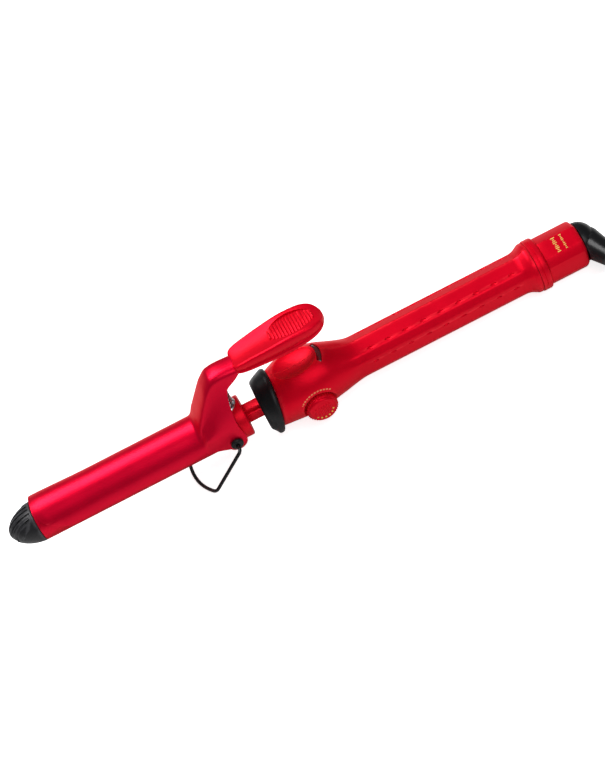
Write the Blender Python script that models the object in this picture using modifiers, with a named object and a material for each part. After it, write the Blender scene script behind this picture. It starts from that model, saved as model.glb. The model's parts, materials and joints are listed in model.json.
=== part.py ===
"""Spring-clip curling iron with a wire rest, a heat dial and a swivel cord.

Every sub-part is drawn in the iron's own frame: x runs from the cool tip to the cord, y is zero on
the middle plane, the heat dial is on the -y side, and z is zero on the barrel's axis, positive
towards the clip. Empties on the joint axes carry the moving pieces, and the empty "iron" sets the
whole tool down on the plane z = 0, on its wire rest and its rear ring.
"""

import math

import bmesh
import bpy
from mathutils import Vector

MM = 0.001
GAP = 0.3  # running gap between touching pieces, in mm like every size below

# Barrel and tip
BARREL_R = 12.7
BARREL_WALL = 1.2
TIP_LENGTH = 19.3
BARREL_END = 150.6

# Clip
CLIP_WALL = 1.6
CLIP_GAP = 0.4
CLIP_WRAP = math.radians(97)
CLIP_FRONT = 20.6
ARM_START = 126.0
ARM_END = 166.4
ARM_TOP = 45.5
CHEEK_OUTER = 16.1
CHEEK_INNER = 14.4
ROOT_ROOF = 33.0  # underside of the arm's solid root, over the spring

# Clip spring
SPRING_X = 149.5
SPRING_R = 4.9
SPRING_WIRE_R = 0.6
SPRING_TURNS = 6
SPRING_LOW = 15.9
SPRING_HIGH = 32.0

# Hinge line of the clip and of the wire rest
PIVOT_X = 145.6
PIVOT_Z = -1.8
TRUNNION_R = 2.4
CAP_R = 3.9
CAP_FACE = 18.6

# Wire rest
WIRE_R = 1.1
REST_ANGLE = math.radians(33)
LEG_Y = 23.7
BOW_REACH = 39.5

# Thumb rest
PAD_START = 166.7
PAD_END = 224.3
PAD_HALF = 12.0
PAD_SCREW_X = 176.0

# Neck and guard
FLANGE_START = 150.9
FLANGE_END = 157.6
FLANGE_R = 13.0
NECK_REACH = 5.3
NECK_HALF = 3.1
NECK_END = 174.0
WIRE_BORE = 2.3
GUARD_START = 167.4
GUARD_R = 19.9
GUARD_TILT = 0.17

# Handle
SHELL_START = 176.8
SHELL_END = 348.2
SHELL_WALL = 2.0
GRIP_START = 232.0
GRIP_R = 13.0
RAMP_START = 338.0
RING_START = 348.5
RING_END = 354.5
RING_R = 16.3
LAND_CUT = 0.35  # depth of the flat land under the ring
SHELL_END_R = 15.9
CAP_START = 354.8
CAP_END = 379.8
END_CAP_R = 14.8
DIAL_X = 199.8
DIAL_Z = -4.0
DIAL_R = 9.8
DIAL_FACE = -22.5
DIAL_SEAT = -15.2
SCOOP_X = 195.0
LENS_X = 211.4

# Cord elbow, and the cord as it lies on the table behind the iron
SWIVEL_X = 380.0
ELBOW_FACE = 380.15
RELIEF_X = 383.0
RELIEF = [(-6, 3.0), (-5, 5.4), (-3, 7.7), (-1, 8.7), (2, 9.1), (6, 8.6), (12, 7.8), (18, 7.0),
          (26, 6.0), (33, 5.2), (40, 4.4)]
ELBOW_TURN = math.radians(72)
CORD_R = 3.0
CORD_ROUTE = [(204.9, -38.61, 14.38), (207.9, -48.0, 14.1), (212.6, -57.6, 12.4),
              (219.6, -66.4, 9.6), (228.6, -73.4, 6.6), (238.6, -78.0, 4.7), (252.0, -80.6, 4.1)]
COIL_CENTRE = (276.0, -40.0)
COIL_INNER = 24.8
COIL_OUTER = 43.2
COIL_LOW = 1.1
COIL_HIGH = 19.3
TIE_WALL = 0.8
PLUG_X = COIL_CENTRE[0] + 33.0
PLUG_Z = 27.2
PLUG_REAR = COIL_CENTRE[1] - 12.0
TAIL_ROUTE = [(301.2, -66.6, 22.9), (304.6, -61.9, 24.9), (307.4, -57.6, 26.4),
              (PLUG_X - 0.1, PLUG_REAR - 1.2, PLUG_Z)]

PITCH = math.atan2(
    -PIVOT_Z + BOW_REACH * math.sin(REST_ANGLE) + WIRE_R - (RING_R - LAND_CUT),
    (RING_START + RING_END) / 2 - PIVOT_X + BOW_REACH * math.cos(REST_ANGLE),
)

RED = (0.72, 0.008, 0.022, 1)
DEEP_RED = (0.30, 0.004, 0.010, 1)
BLACK = (0.012, 0.012, 0.013, 1)
GREY = (0.05, 0.05, 0.055, 1)
STEEL = (0.55, 0.55, 0.57, 1)
ALUMINIUM = (0.70, 0.71, 0.73, 1)
CERAMIC = (0.85, 0.84, 0.80, 1)
GREEN = (0.02, 0.16, 0.06, 1)
LENS_RED = (0.16, 0.0, 0.004, 1)


# ---------------------------------------------------------------- helpers


def clear_scene():
    for obj in list(bpy.data.objects):
        bpy.data.objects.remove(obj, do_unlink=True)


def collection(name):
    group = bpy.data.collections.new(name)
    bpy.context.scene.collection.children.link(group)
    return group


def link_mesh(name, bm, group):
    bmesh.ops.recalc_face_normals(bm, faces=bm.faces)
    mesh = bpy.data.meshes.new(name)
    bm.to_mesh(mesh)
    bm.free()
    obj = bpy.data.objects.new(name, mesh)
    group.objects.link(obj)
    return obj


def finish(name, obj, colour, roughness=0.45, metallic=0.0):
    """Name a piece, shade it, put it in the parts collection and give it its own material."""
    obj.name = name
    obj.data.name = name
    for group in list(obj.users_collection):
        group.objects.unlink(obj)
    PARTS.objects.link(obj)
    material = bpy.data.materials.new(name)
    material.use_nodes = True
    shader = material.node_tree.nodes["Principled BSDF"]
    shader.inputs["Base Color"].default_value = colour
    shader.inputs["Roughness"].default_value = roughness
    shader.inputs["Metallic"].default_value = metallic
    obj.data.materials.clear()
    obj.data.materials.append(material)
    return obj


def frozen(obj):
    """The evaluated object as a plain mesh in the iron's frame."""
    bpy.context.view_layer.update()
    graph = bpy.context.evaluated_depsgraph_get()
    mesh = bpy.data.meshes.new_from_object(obj.evaluated_get(graph))
    mesh.transform(obj.matrix_world)
    solid = bpy.data.objects.new(obj.name, mesh)
    SHAPES.objects.link(solid)
    bpy.data.objects.remove(obj, do_unlink=True)
    bm = bmesh.new()
    bm.from_mesh(mesh)
    bmesh.ops.remove_doubles(bm, verts=bm.verts, dist=0.00001)
    bm.to_mesh(mesh)
    bm.free()
    return solid


def combine(target, other, operation="DIFFERENCE"):
    """Boolean another shape into the target, and drop the other shape."""
    boolean = target.modifiers.new("join", "BOOLEAN")
    boolean.object = other
    boolean.operation = operation
    solid = frozen(target)
    bpy.data.objects.remove(other, do_unlink=True)
    return solid


def turned(outline, steps=32, closed=False, axis="X", origin=(0, 0, 0)):
    """Turn an outline of (along, radius) points about the X, Y or Z direction through origin."""
    bm = bmesh.new()
    points = [bm.verts.new((r * MM, 0, a * MM)) for a, r in reversed(outline)]
    for one, two in zip(points, points[1:]):
        bm.edges.new((one, two))
    if closed:
        bm.edges.new((points[-1], points[0]))
    mesh = bpy.data.meshes.new("turned")
    bm.to_mesh(mesh)
    bm.free()
    obj = bpy.data.objects.new("turned", mesh)
    SHAPES.objects.link(obj)
    screw = obj.modifiers.new("turn", "SCREW")
    screw.steps = steps
    screw.render_steps = steps
    screw.use_merge_vertices = True
    screw.merge_threshold = 0.00001
    turn = {"X": (0, math.pi / 2, 0), "Y": (-math.pi / 2, 0, 0), "Z": (0, 0, 0)}
    obj.rotation_euler = turn[axis]
    obj.location = Vector(origin) * MM
    return frozen(obj)


def rod(radius, start, end, axis="X", origin=(0, 0, 0), steps=24):
    outline = [(start, 0), (start, radius), (end, radius), (end, 0)]
    return turned(outline, steps, axis=axis, origin=origin)


def block(low, high):
    low, high = Vector(low) * MM, Vector(high) * MM
    bm = bmesh.new()
    bmesh.ops.create_cube(bm, size=1)
    bmesh.ops.scale(bm, vec=high - low, verts=bm.verts)
    bmesh.ops.translate(bm, vec=(high + low) / 2, verts=bm.verts)
    return link_mesh("block", bm, SHAPES)


def loft(sections):
    """Skin a closed solid over cross-sections of equal point count, given in mm."""
    bm = bmesh.new()
    rings = [[bm.verts.new(Vector(p) * MM) for p in section] for section in sections]
    count = len(rings[0])
    for one, two in zip(rings, rings[1:]):
        for i in range(count):
            j = (i + 1) % count
            bm.faces.new((one[i], one[j], two[j], two[i]))
    bm.faces.new(list(reversed(rings[0])))
    bm.faces.new(rings[-1])
    return link_mesh("loft", bm, SHAPES)


def plate(outline, y_low, y_high):
    """A flat piece with an (x, z) outline, thick along y."""
    low = [(x, y_low, z) for x, z in outline]
    high = [(x, y_high, z) for x, z in outline]
    return loft([low, high])


def tube(points, radius, resolution=2):
    """A round wire along points in mm, welded into one closed solid."""
    curve = bpy.data.curves.new("wire", "CURVE")
    curve.dimensions = "3D"
    curve.bevel_depth = radius * MM
    curve.bevel_resolution = resolution
    curve.use_fill_caps = True
    curve.resolution_u = 1
    spline = curve.splines.new("POLY")
    spline.points.add(len(points) - 1)
    for point, place in zip(spline.points, points):
        point.co = (*(Vector(place) * MM), 1)
    obj = bpy.data.objects.new("wire", curve)
    SHAPES.objects.link(obj)
    return frozen(obj)


def smooth_line(route, spacing):
    """Points about spacing apart on a Catmull-Rom curve through the route."""
    route = [Vector(p) for p in route]
    ends = [route[0] * 2 - route[1]] + route + [route[-1] * 2 - route[-2]]
    fine = []
    for a, b, c, d in zip(ends, ends[1:], ends[2:], ends[3:]):
        for k in range(24):
            t = k / 24
            fine.append(
                0.5 * ((2 * b) + (c - a) * t + (2 * a - 5 * b + 4 * c - d) * t * t
                       + (3 * b - a - 3 * c + d) * t ** 3)
            )
    fine.append(route[-1])
    total = sum((q - p).length for p, q in zip(fine, fine[1:]))
    step = total / round(total / spacing)
    line, run = [fine[0]], 0.0
    for p, q in zip(fine, fine[1:]):
        run += (q - p).length
        if run >= step * len(line) - 1e-6:
            line.append(q)
    line[-1] = fine[-1]
    return line


def ease(value, low, high):
    t = min(1.0, max(0.0, (value - low) / (high - low)))
    return t * t * (3 - 2 * t)


def between(x, table):
    """Straight-line reading of a size between its stations along x."""
    for (x0, a), (x1, b) in zip(table, table[1:]):
        if x <= x1:
            return a + (b - a) * min(1.0, max(0.0, (x - x0) / (x1 - x0)))
    return table[-1][1]


def arc(cx, cz, radius, start, end, count):
    """Points on an arc in the x-z plane, angles in degrees."""
    angles = [math.radians(start + (end - start) * i / (count - 1)) for i in range(count)]
    return [(cx + radius * math.cos(t), cz + radius * math.sin(t)) for t in angles]


# ---------------------------------------------------------------- barrel


def tip_radius(x):
    t = (TIP_LENGTH - x) / TIP_LENGTH
    return BARREL_R * (1 - t ** 1.8) ** 0.55


def make_tip_cap():
    stations = [0.12, 0.6, 1.6, 3.2, 5.4, 8.2, 11.6, 15.4, TIP_LENGTH]
    spigot = BARREL_R - BARREL_WALL - GAP
    outline = [(0, 0)] + [(x, tip_radius(x)) for x in stations]
    outline += [(TIP_LENGTH, spigot), (TIP_LENGTH + 8, spigot), (TIP_LENGTH + 8, 0)]
    body = turned(outline, 40)
    # Slanted finger facet on the clip side, from the shoulder down past the nose's middle.
    facet = plate([(16.6, 12.9), (0.4, -3.6), (-6, 4), (6, 24)], -16, 16)
    body = combine(body, facet)
    finish("tip_cap", body, GREY, 0.5)


def make_barrel():
    inner = BARREL_R - BARREL_WALL
    ends = [(TIP_LENGTH + GAP, BARREL_R), (BARREL_END, BARREL_R), (BARREL_END, inner)]
    body = turned(ends + [(TIP_LENGTH + GAP, inner)], 48, closed=True)
    finish("barrel_tube", body, RED, 0.35)


def make_heater():
    for name, side in (("heater_core_upper", 1), ("heater_core_lower", -1)):
        core = rod(10.9, 34, 124, steps=32)
        keep = sorted((side * 1.2, side * 14))
        core = combine(core, block((30, -14, keep[0]), (130, 14, keep[1])), "INTERSECT")
        finish(name, core, ALUMINIUM, 0.35, 1.0)
    finish("heater_plate", block((38, -7, -0.8), (120, 7, 0.8)), CERAMIC, 0.6)
    fuse = turned([(127, 0), (127, 2.0), (128, 2.6), (137, 2.6), (138, 2.0), (138, 0)], 16,
                  origin=(0, 0, 7))
    finish("thermal_fuse", fuse, CERAMIC, 0.5)


def make_hinge_saddle():
    collar = turned([(138, 13.6), (150.6, 13.6), (150.6, 13.0), (138, 13.0)], 36, closed=True)
    seat = turned([(13.4, 0), (13.4, 6.3), (14.4, 6.3), (14.8, 5.9), (14.8, 0)], 24,
                  axis="Z", origin=(SPRING_X, 0, 0))
    body = combine(collar, seat, "UNION")
    for side in (1, -1):
        start, end = sorted((side * 13.3, side * 16.3))
        body = combine(body, rod(TRUNNION_R, start, end, "Y", (PIVOT_X, 0, PIVOT_Z)), "UNION")
        start, end = sorted((side * 14.6, side * 18))
        body = combine(body, rod(WIRE_R + 0.35, start, end, "Y", (PIVOT_X, 0, PIVOT_Z)))
    finish("hinge_saddle", body, STEEL, 0.3, 1.0)


def make_hinge_caps():
    bore = WIRE_R + 0.35
    for name, side in (("hinge_cap_left", 1), ("hinge_cap_right", -1)):
        outline = [(16.6, bore), (16.6, CAP_R), (17.3, CAP_R), (18.1, 3.2), (CAP_FACE, 2.0),
                   (CAP_FACE, bore)]
        if side < 0:
            outline = [(-a, r) for a, r in reversed(outline)]
            outline = outline[1:] + outline[:1]
        cap = turned(outline, 24, closed=True, axis="Y", origin=(PIVOT_X, 0, PIVOT_Z))
        finish(name, cap, BLACK, 0.3)


# ---------------------------------------------------------------- clip


def clip_half_outline(x, inset, bottom):
    """Half of the clip's cross-section at x, from the crown down one side, as (y, z)."""
    radius = BARREL_R + CLIP_GAP + CLIP_WALL - inset
    angles = [CLIP_WRAP * i / 12 for i in range(13)]
    blade = [(radius * math.sin(t), radius * math.cos(t)) for t in angles]
    crown = between(x, [(ARM_START, 14.7), (149.6, ARM_TOP), (ARM_END, ARM_TOP - 0.8)]) - inset
    ridge = between(x, [(ARM_START, 11.2), (138, 9.0), (150, 7.8), (ARM_END, 7.8)]) - inset
    crease = max(crown - 9.0, 7.5 - inset)
    side_top = min(8.0, crease - 2)
    cheek = between(x, [(ARM_START, 14.7), (138, CHEEK_OUTER), (ARM_END, CHEEK_OUTER)])
    cheek -= CHEEK_OUTER - CHEEK_INNER if inset else 0
    arm = []
    for i in range(8):
        t = math.radians(90 * i / 7)
        arm.append((ridge * math.sin(t) ** 0.8, crown - 5.0 * (1 - math.cos(t) ** 0.8)))
    arm += [(ridge + 0.4, crease), ((ridge + cheek) / 2 + 0.5, (crease + side_top) / 2)]
    arm += [(cheek, side_top), (cheek, 2.0), (cheek, -1.8)]
    blend = ease(x, ARM_START, 131.0)
    half = []
    for a, b in zip(blade, arm):
        y, z = a[0] + (b[0] - a[0]) * blend, a[1] + (b[1] - a[1]) * blend
        clear = max(1.0, radius / math.hypot(y, z))
        half.append((y * clear, z * clear))
    return half + [(half[-1][0], bottom)]


def clip_section(x, inset, bottom, roof=None):
    half = clip_half_outline(x, inset, bottom)
    if roof is not None:
        half = [(y, min(z, roof)) for y, z in half]
    left = [(x, -y, z) for y, z in half[:0:-1]]
    return left + [(x, y, z) for y, z in half]


def clip_side_outline():
    """The clip seen from the side, as (x, z): slanted nose, lobe round the hinge, open arm."""
    nose = [(38, -1.75), (35.9, -0.2), (31.7, 2.4), (27.6, 5.6), (24.0, 8.5), (21.6, 11.0)]
    top = [(CLIP_FRONT, 12.4), (CLIP_FRONT, 60), (ARM_END, 60), (ARM_END, 40.6)]
    arm = [(162.4, 37.6), (158.6, 35.6), (156.0, 34.2), (154.2, 31.2), (152.4, 24.0)]
    cheek = [(151.2, 15.0), (151.2, 9.0), (152.2, 2.4)]
    lobe = arc(PIVOT_X + 0.6, PIVOT_Z + 0.4, 6.3, -6, -150, 11)
    return nose + top + arm + cheek + lobe + [(136.5, -2.6), (134.0, -1.78)]


def make_clip():
    stations = [CLIP_FRONT - 1, 60, 100, ARM_START, 127, 128.4, 130, 132, 135, 138, 142, 146,
                149.6, 152, 158, ARM_END + 1]
    outer = loft([clip_section(x, 0, -9 if x > 130 else -1.79) for x in stations])
    hollow = [x for x in stations if x < 153]
    inner = loft([clip_section(x + (-3 if x == hollow[0] else 0), CLIP_WALL, -14, ROOT_ROOF)
                  for x in hollow] + [clip_section(170, CLIP_WALL, -14, ROOT_ROOF)])
    body = combine(outer, inner)
    body = combine(body, plate(clip_side_outline(), -20, 20), "INTERSECT")
    hole = rod(TRUNNION_R + 0.35, -20, 20, "Y", (PIVOT_X, 0, PIVOT_Z))
    body = combine(body, hole)
    finish("clip_blade", body, RED, 0.3)
    body.parent = HINGE


def pad_section(x):
    """Cross-section of the thumb rest at x: flat ledge below, waist, and dished top."""
    half = between(x, [(PAD_START, 8.4), (170, 9.2), (178, 10.4), (190, 11.6), (202, PAD_HALF),
                       (212, 11.7), (218, 10.2), (222, 6.8), (PAD_END, 2.0)])
    top = between(x, [(PAD_START, 45.2), (171, 47.2), (180, 48.6), (192, 49.9), (202, 50.6),
                      (212, 50.3), (219, 49.0), (222.6, 47.2), (PAD_END, 45.8)])
    low = between(x, [(PAD_START, 40.6), (175, 39.6), (190, 39.8), (209, 40.6), (217, 41.6),
                      (222, 43.2), (PAD_END, 44.4)])
    height = top - low
    side = [(half * 0.88, low), (half, low + 0.10 * height), (half, low + 0.34 * height),
            (half * 0.97, low + 0.42 * height), (half, low + 0.54 * height),
            (half, low + 0.84 * height), (half * 0.94, low + 0.96 * height), (half * 0.8, top)]
    dish = 0.10 * height
    side += [(half * 0.4, top - 0.7 * dish), (0, top - dish)]
    left = [(x, -y, z) for y, z in reversed(side[:-1])]
    return [(x, y, z) for y, z in side] + left + [(x, 0, low)]


def make_thumb_rest():
    stations = [PAD_START, 168.5, 172, 178, 185, 192, 200, 207, 212, 216, 219, 221.5, 223.2,
                PAD_END]
    body = loft([pad_section(x) for x in stations])
    hole = rod(1.7, 38, 46, "Z", (PAD_SCREW_X, 0, 0), 20)
    body = combine(body, hole)
    recess = rod(3.2, 36, 41.4, "Z", (PAD_SCREW_X, 0, 0), 20)
    body = combine(body, recess)
    finish("thumb_rest", body, RED, 0.4)
    body.parent = HINGE


def make_thumb_rest_screw():
    outline = [(39.9, 0), (39.9, 2.2), (41.1, 2.8), (41.1, 1.3), (45.6, 1.3), (45.6, 0)]
    screw = turned(outline, 20, axis="Z", origin=(PAD_SCREW_X, 0, 0))
    slot = block((PAD_SCREW_X - 3, -0.4, 39), (PAD_SCREW_X + 3, 0.4, 40.5))
    screw = combine(screw, slot)
    finish("thumb_rest_screw", screw, STEEL, 0.3, 1.0)
    screw.parent = HINGE


def make_clip_spring():
    """Upright compression spring between the saddle's seat and the solid root of the arm."""
    per_turn = 10
    last = SPRING_TURNS * per_turn
    points = []
    for i in range(last + 1):
        t = 2 * math.pi * i / per_turn
        rise = (SPRING_HIGH - SPRING_LOW) * i / last
        points.append((SPRING_X + SPRING_R * math.cos(t), SPRING_R * math.sin(t),
                       SPRING_LOW + rise))
    finish("clip_spring", tube(points, SPRING_WIRE_R, 1), STEEL, 0.25, 1.0)


# ---------------------------------------------------------------- wire rest


def make_wire_stand():
    """Wire bow: two ends in the hinge caps, two legs, and an outward bow between the corners."""
    def place(along, y):
        return (PIVOT_X - along * math.cos(REST_ANGLE), y,
                PIVOT_Z - along * math.sin(REST_ANGLE))

    half = [place(0, 15.2), place(0, 20.6), place(0.4, 22.2), place(1.4, 23.3), place(3.0, LEG_Y)]
    half += [place(12, 25.6), place(20, 27.3), place(25.2, 28.4)]
    half += [place(27.2, 28.7), place(28.9, 28.0)]
    bow = []
    for i in range(9):
        y = 26.6 * (1 - i / 8)
        bow.append(place(BOW_REACH - 9.3 * (y / 26.6) ** 2, y))
    half += bow
    mirrored = [(x, -y, z) for x, y, z in reversed(half[:-1])]
    body = tube(half + mirrored, WIRE_R, 2)
    finish("wire_stand", body, BLACK, 0.35)
    body.parent = STAND


# ---------------------------------------------------------------- neck and guard


def make_flange():
    outline = [(144, 11.1), (FLANGE_START, 11.1), (FLANGE_START, FLANGE_R),
               (FLANGE_END - 0.8, FLANGE_R), (FLANGE_END, FLANGE_R - 0.8), (FLANGE_END, 6.5),
               (144, 6.5)]
    finish("barrel_flange", turned(outline, 32, closed=True), RED, 0.4)


def make_neck():
    bar = block((145, -NECK_REACH, -NECK_HALF), (NECK_END, NECK_REACH, NECK_HALF))
    post = block((145, -NECK_HALF, -NECK_REACH), (NECK_END, NECK_HALF, NECK_REACH))
    body = combine(bar, post, "UNION")
    body = combine(body, rod(11.0, 171.4, NECK_END, steps=32), "UNION")
    body = combine(body, rod(WIRE_BORE, 140, 180))
    finish("neck_spine", body, DEEP_RED, 0.4)


def tilted(obj, start, end):
    """Lean a piece back towards the handle with height, from none at start to all at end."""
    for vertex in obj.data.vertices:
        weight = min(1.0, max(0.0, (vertex.co.x / MM - start) / (end - start)))
        vertex.co.x += GUARD_TILT * vertex.co.z * weight
    return obj


def make_guard():
    outline = [(GUARD_START, 15.0), (168.2, 16.2), (173.0, 19.5), (173.8, GUARD_R),
               (175.2, GUARD_R), (176.3, 18.9), (176.3, 16.6), (170.6, 14.0), (169.8, 13.0),
               (169.8, 6.5), (GUARD_START, 6.5)]
    body = tilted(turned(outline, 36, closed=True), 169, 173)
    finish("heat_guard", body, BLACK, 0.4)


# ---------------------------------------------------------------- handle


def handle_section(x, inset, count=32):
    """Handle cross-section at x: a round bulb that turns into an eight-sided grip."""
    radius = between(x, [(SHELL_START, 17.2), (180, 18.0), (185, 19.0), (190, 19.7), (197, 20.0),
                         (204, 19.6), (210, 18.5), (215, 17.2), (220, 15.7), (225, 14.3),
                         (229, 13.4), (GRIP_START, GRIP_R), (RAMP_START, GRIP_R), (341, 13.4),
                         (344, 15.0), (346.4, SHELL_END_R), (347.2, SHELL_END_R), (SHELL_END, SHELL_END_R)])
    lift = between(x, [(SHELL_START, 0.8), (184, 2.2), (190, 2.6), (210, 2.6), (220, 1.2),
                       (GRIP_START, 0.0), (SHELL_END, 0.0)])
    facet = ease(x, 224, GRIP_START) - 0.7 * ease(x, RAMP_START, 347)
    points = []
    for i in range(count):
        t = 2 * math.pi * i / count
        fold = (t + math.pi / 8) % (math.pi / 4) - math.pi / 8
        flat = math.cos(math.pi / 8) / math.cos(math.pi / 8 - abs(fold))
        r = radius * (1 + (flat - 1) * facet) - inset
        points.append((x, r * math.sin(t), r * math.cos(t) + lift))
    return points


def make_handle_body():
    stations = [SHELL_START, 180, 184, 188, 192, 197, 202, 207, 211, 215, 220, 225, 229,
                GRIP_START, RAMP_START, 341, 344, 346.4, 347.2, SHELL_END]
    outer = tilted_front(loft([handle_section(x, 0) for x in stations]))
    inside = [SHELL_START - 8] + stations[1:-2] + [SHELL_END + 2]
    inner = tilted_front(loft([handle_section(x, SHELL_WALL) for x in inside]))
    return combine(outer, inner)


def tilted_front(obj):
    """Lean the bulb's front edge with the guard, fading out along the bulb."""
    for vertex in obj.data.vertices:
        weight = 1 - ease(vertex.co.x / MM, SHELL_START, 200)
        vertex.co.x += GUARD_TILT * vertex.co.z * weight
    return obj


def scoop():
    """Hollow that the thumb rest dips into when the clip is opened."""
    bm = bmesh.new()
    bmesh.ops.create_uvsphere(bm, u_segments=28, v_segments=16, radius=1)
    bmesh.ops.scale(bm, vec=Vector((16.5, 12.5, 6.0)) * MM, verts=bm.verts)
    bmesh.ops.translate(bm, vec=Vector((SCOOP_X, 0, 22.6)) * MM, verts=bm.verts)
    return link_mesh("scoop", bm, SHAPES)


def scoop_backing():
    """Thick patch under the scoop, so that the wall stays closed."""
    bm = bmesh.new()
    bmesh.ops.create_uvsphere(bm, u_segments=28, v_segments=16, radius=1)
    bmesh.ops.scale(bm, vec=Vector((18.5, 14.5, 8.0)) * MM, verts=bm.verts)
    bmesh.ops.translate(bm, vec=Vector((SCOOP_X, 0, 22.6)) * MM, verts=bm.verts)
    patch = link_mesh("patch", bm, SHAPES)
    stations = [178, 184, 188, 192, 197, 202, 207, 211, 215, 218]
    inside = tilted_front(loft([handle_section(x, 0.4) for x in stations]))
    return combine(patch, inside, "INTERSECT")


def dial_pocket():
    return turned([(-30, 0), (-30, 11.4), (-19, 10.9), (DIAL_SEAT, 10.6), (DIAL_SEAT, 0)], 40,
                  axis="Y", origin=(DIAL_X, 0, DIAL_Z))


def dial_cup():
    """Wall of the dial's pocket, clipped to the bulb's outside."""
    cup = rod(12.4, -22, DIAL_SEAT + 2, "Y", (DIAL_X, 0, DIAL_Z), 40)
    stations = [182, 184, 188, 192, 197, 202, 207, 211, 215, 218]
    inside = tilted_front(loft([handle_section(x, 0.4) for x in stations]))
    return combine(cup, inside, "INTERSECT")


def lens_outline(grow):
    """Crescent window behind the scoop, as (x, y) from one tip round to the other."""
    rear = arc(LENS_X - 14.6, 0, 16.6 + grow, -29 - 3 * grow, 29 + 3 * grow, 11)
    front = arc(LENS_X - 14.6, 0, 14.2 - grow, 27 + 3 * grow, -27 - 3 * grow, 11)
    return rear + front


def lens_block(grow, low, high):
    outline = lens_outline(grow)
    return loft([[(x, y, low) for x, y in outline], [(x, y, high) for x, y in outline]])


CASE_SCREWS = (("case_screw_front", 233.0), ("case_screw_middle", 286.0),
               ("case_screw_rear", 334.0))


def make_handle_shells():
    body = make_handle_body()
    body = combine(body, scoop_backing(), "UNION")
    body = combine(body, dial_cup(), "UNION")
    body = combine(body, scoop())
    body = combine(body, dial_pocket())
    body = combine(body, rod(3.0, -20, -8, "Y", (DIAL_X, 0, DIAL_Z)))
    body = combine(body, lens_block(GAP, 12, 30))
    for name, side in (("handle_shell_left", 1), ("handle_shell_right", -1)):
        half = body.copy()
        half.data = body.data.copy()
        SHAPES.objects.link(half)
        keep = sorted((side * 0.15, side * 30))
        half = combine(half, block((160, keep[0], -30), (360, keep[1], 40)), "INTERSECT")
        for _, x in CASE_SCREWS:
            if side < 0:
                boss = rod(3.0, -11.2, -0.45, "Y", (x, 0, 0), 20)
                half = combine(half, boss, "UNION")
                half = combine(half, rod(1.6, -8.5, 2, "Y", (x, 0, 0), 16))
            else:
                boss = rod(3.6, 0.45, 11.2, "Y", (x, 0, 0), 20)
                half = combine(half, boss, "UNION")
                half = combine(half, rod(1.6, -2, 14, "Y", (x, 0, 0), 16))
                half = combine(half, rod(2.7, 8.2, 14, "Y", (x, 0, 0), 20))
        finish(name, half, RED, 0.4)
    bpy.data.objects.remove(body, do_unlink=True)


def make_case_screws():
    for name, x in CASE_SCREWS:
        outline = [(-7.6, 0), (-7.6, 1.2), (8.5, 1.2), (8.5, 2.3), (9.6, 2.3), (10.1, 1.8),
                   (10.1, 0)]
        screw = turned(outline, 20, axis="Y", origin=(x, 0, 0))
        for size in ((1.5, 0.35), (0.35, 1.5)):
            cross = block((x - size[0], 9.1, -size[1]), (x + size[0], 11, size[1]))
            screw = combine(screw, cross)
        finish(name, screw, STEEL, 0.3, 1.0)


def make_lens():
    cap = lens_block(0, 14.8, 21.0)
    stations = [192, 202, 207, 211, 215, 218, 222]
    skin = loft([handle_section(x, 0.3) for x in stations])
    cap = combine(cap, skin, "INTERSECT")
    stem = block((LENS_X - 0.9, -1.6, -6.2), (LENS_X + 1.5, 1.6, 16.0))
    cap = combine(cap, stem, "UNION")
    finish("indicator_lens", cap, LENS_RED, 0.1)


def make_electronics():
    board = block((183, -9.5, -9.4), (217, 9.5, -7.8))
    finish("circuit_board", board, GREEN, 0.5)
    control = block((193.3, -12.7, -7.5), (206.3, -6.6, 7.6))
    control = combine(control, rod(3.0, -14, -9.4, "Y", (DIAL_X, 0, DIAL_Z)))
    finish("rotary_control", control, BLACK, 0.5)
    lamp = turned([(-7.5, 0), (-7.5, 1.6), (-6.9, 1.6), (-6.5, 0.9), (-6.5, 0)], 16, axis="Z",
                  origin=(LENS_X + 0.3, 0, 0))
    finish("indicator_lamp", lamp, CERAMIC, 0.3)


def make_leads():
    for name, y in (("heater_lead_a", 1.05), ("heater_lead_b", -1.05)):
        route = [(124.6, y, 3.0), (132, y, 1.6), (142, y, 0), (160, y, 0), (176, y, 0),
                 (180, y * 2, -2.5), (183.5, y * 4, -6.0), (188, y * 5, -6.9)]
        finish(name, tube(smooth_line(route, 3.2), 0.8, 1), STEEL, 0.5)
    for name, y in (("mains_lead_a", 1.6), ("mains_lead_b", -1.6)):
        route = [(210, y * 3, -6.4), (220, y * 2, -6.4), (240, y, -6.4), (300, y, -6.4),
                 (345, y, -6.0), (358.6, y, -4.0)]
        finish(name, tube(smooth_line(route, 5), 1.0, 1), BLACK, 0.5)


def make_dial():
    """Thick knob with grip flutes round its rim, and its shaft in the rotary control."""
    outline = [(DIAL_FACE, 0), (DIAL_FACE, 7.6), (DIAL_FACE + 0.5, 8.6), (DIAL_FACE + 1.4, 9.3),
               (DIAL_FACE + 1.6, DIAL_R), (DIAL_SEAT - 0.4, DIAL_R), (DIAL_SEAT - 0.4, 2.6),
               (-9.8, 2.6), (-9.8, 0)]
    body = turned(outline, 36, axis="Y", origin=(DIAL_X, 0, DIAL_Z))
    finish("temperature_dial", body, RED, 0.4)
    body.parent = DIAL


# ---------------------------------------------------------------- rear end


def rounded_octagon(x, radius, facet, count=32):
    points = []
    for i in range(count):
        t = 2 * math.pi * i / count
        fold = (t + math.pi / 8) % (math.pi / 4) - math.pi / 8
        flat = math.cos(math.pi / 8) / math.cos(math.pi / 8 - abs(fold))
        r = radius * (1 + (flat - 1) * facet)
        points.append((x, r * math.sin(t), r * math.cos(t)))
    return points


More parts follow.
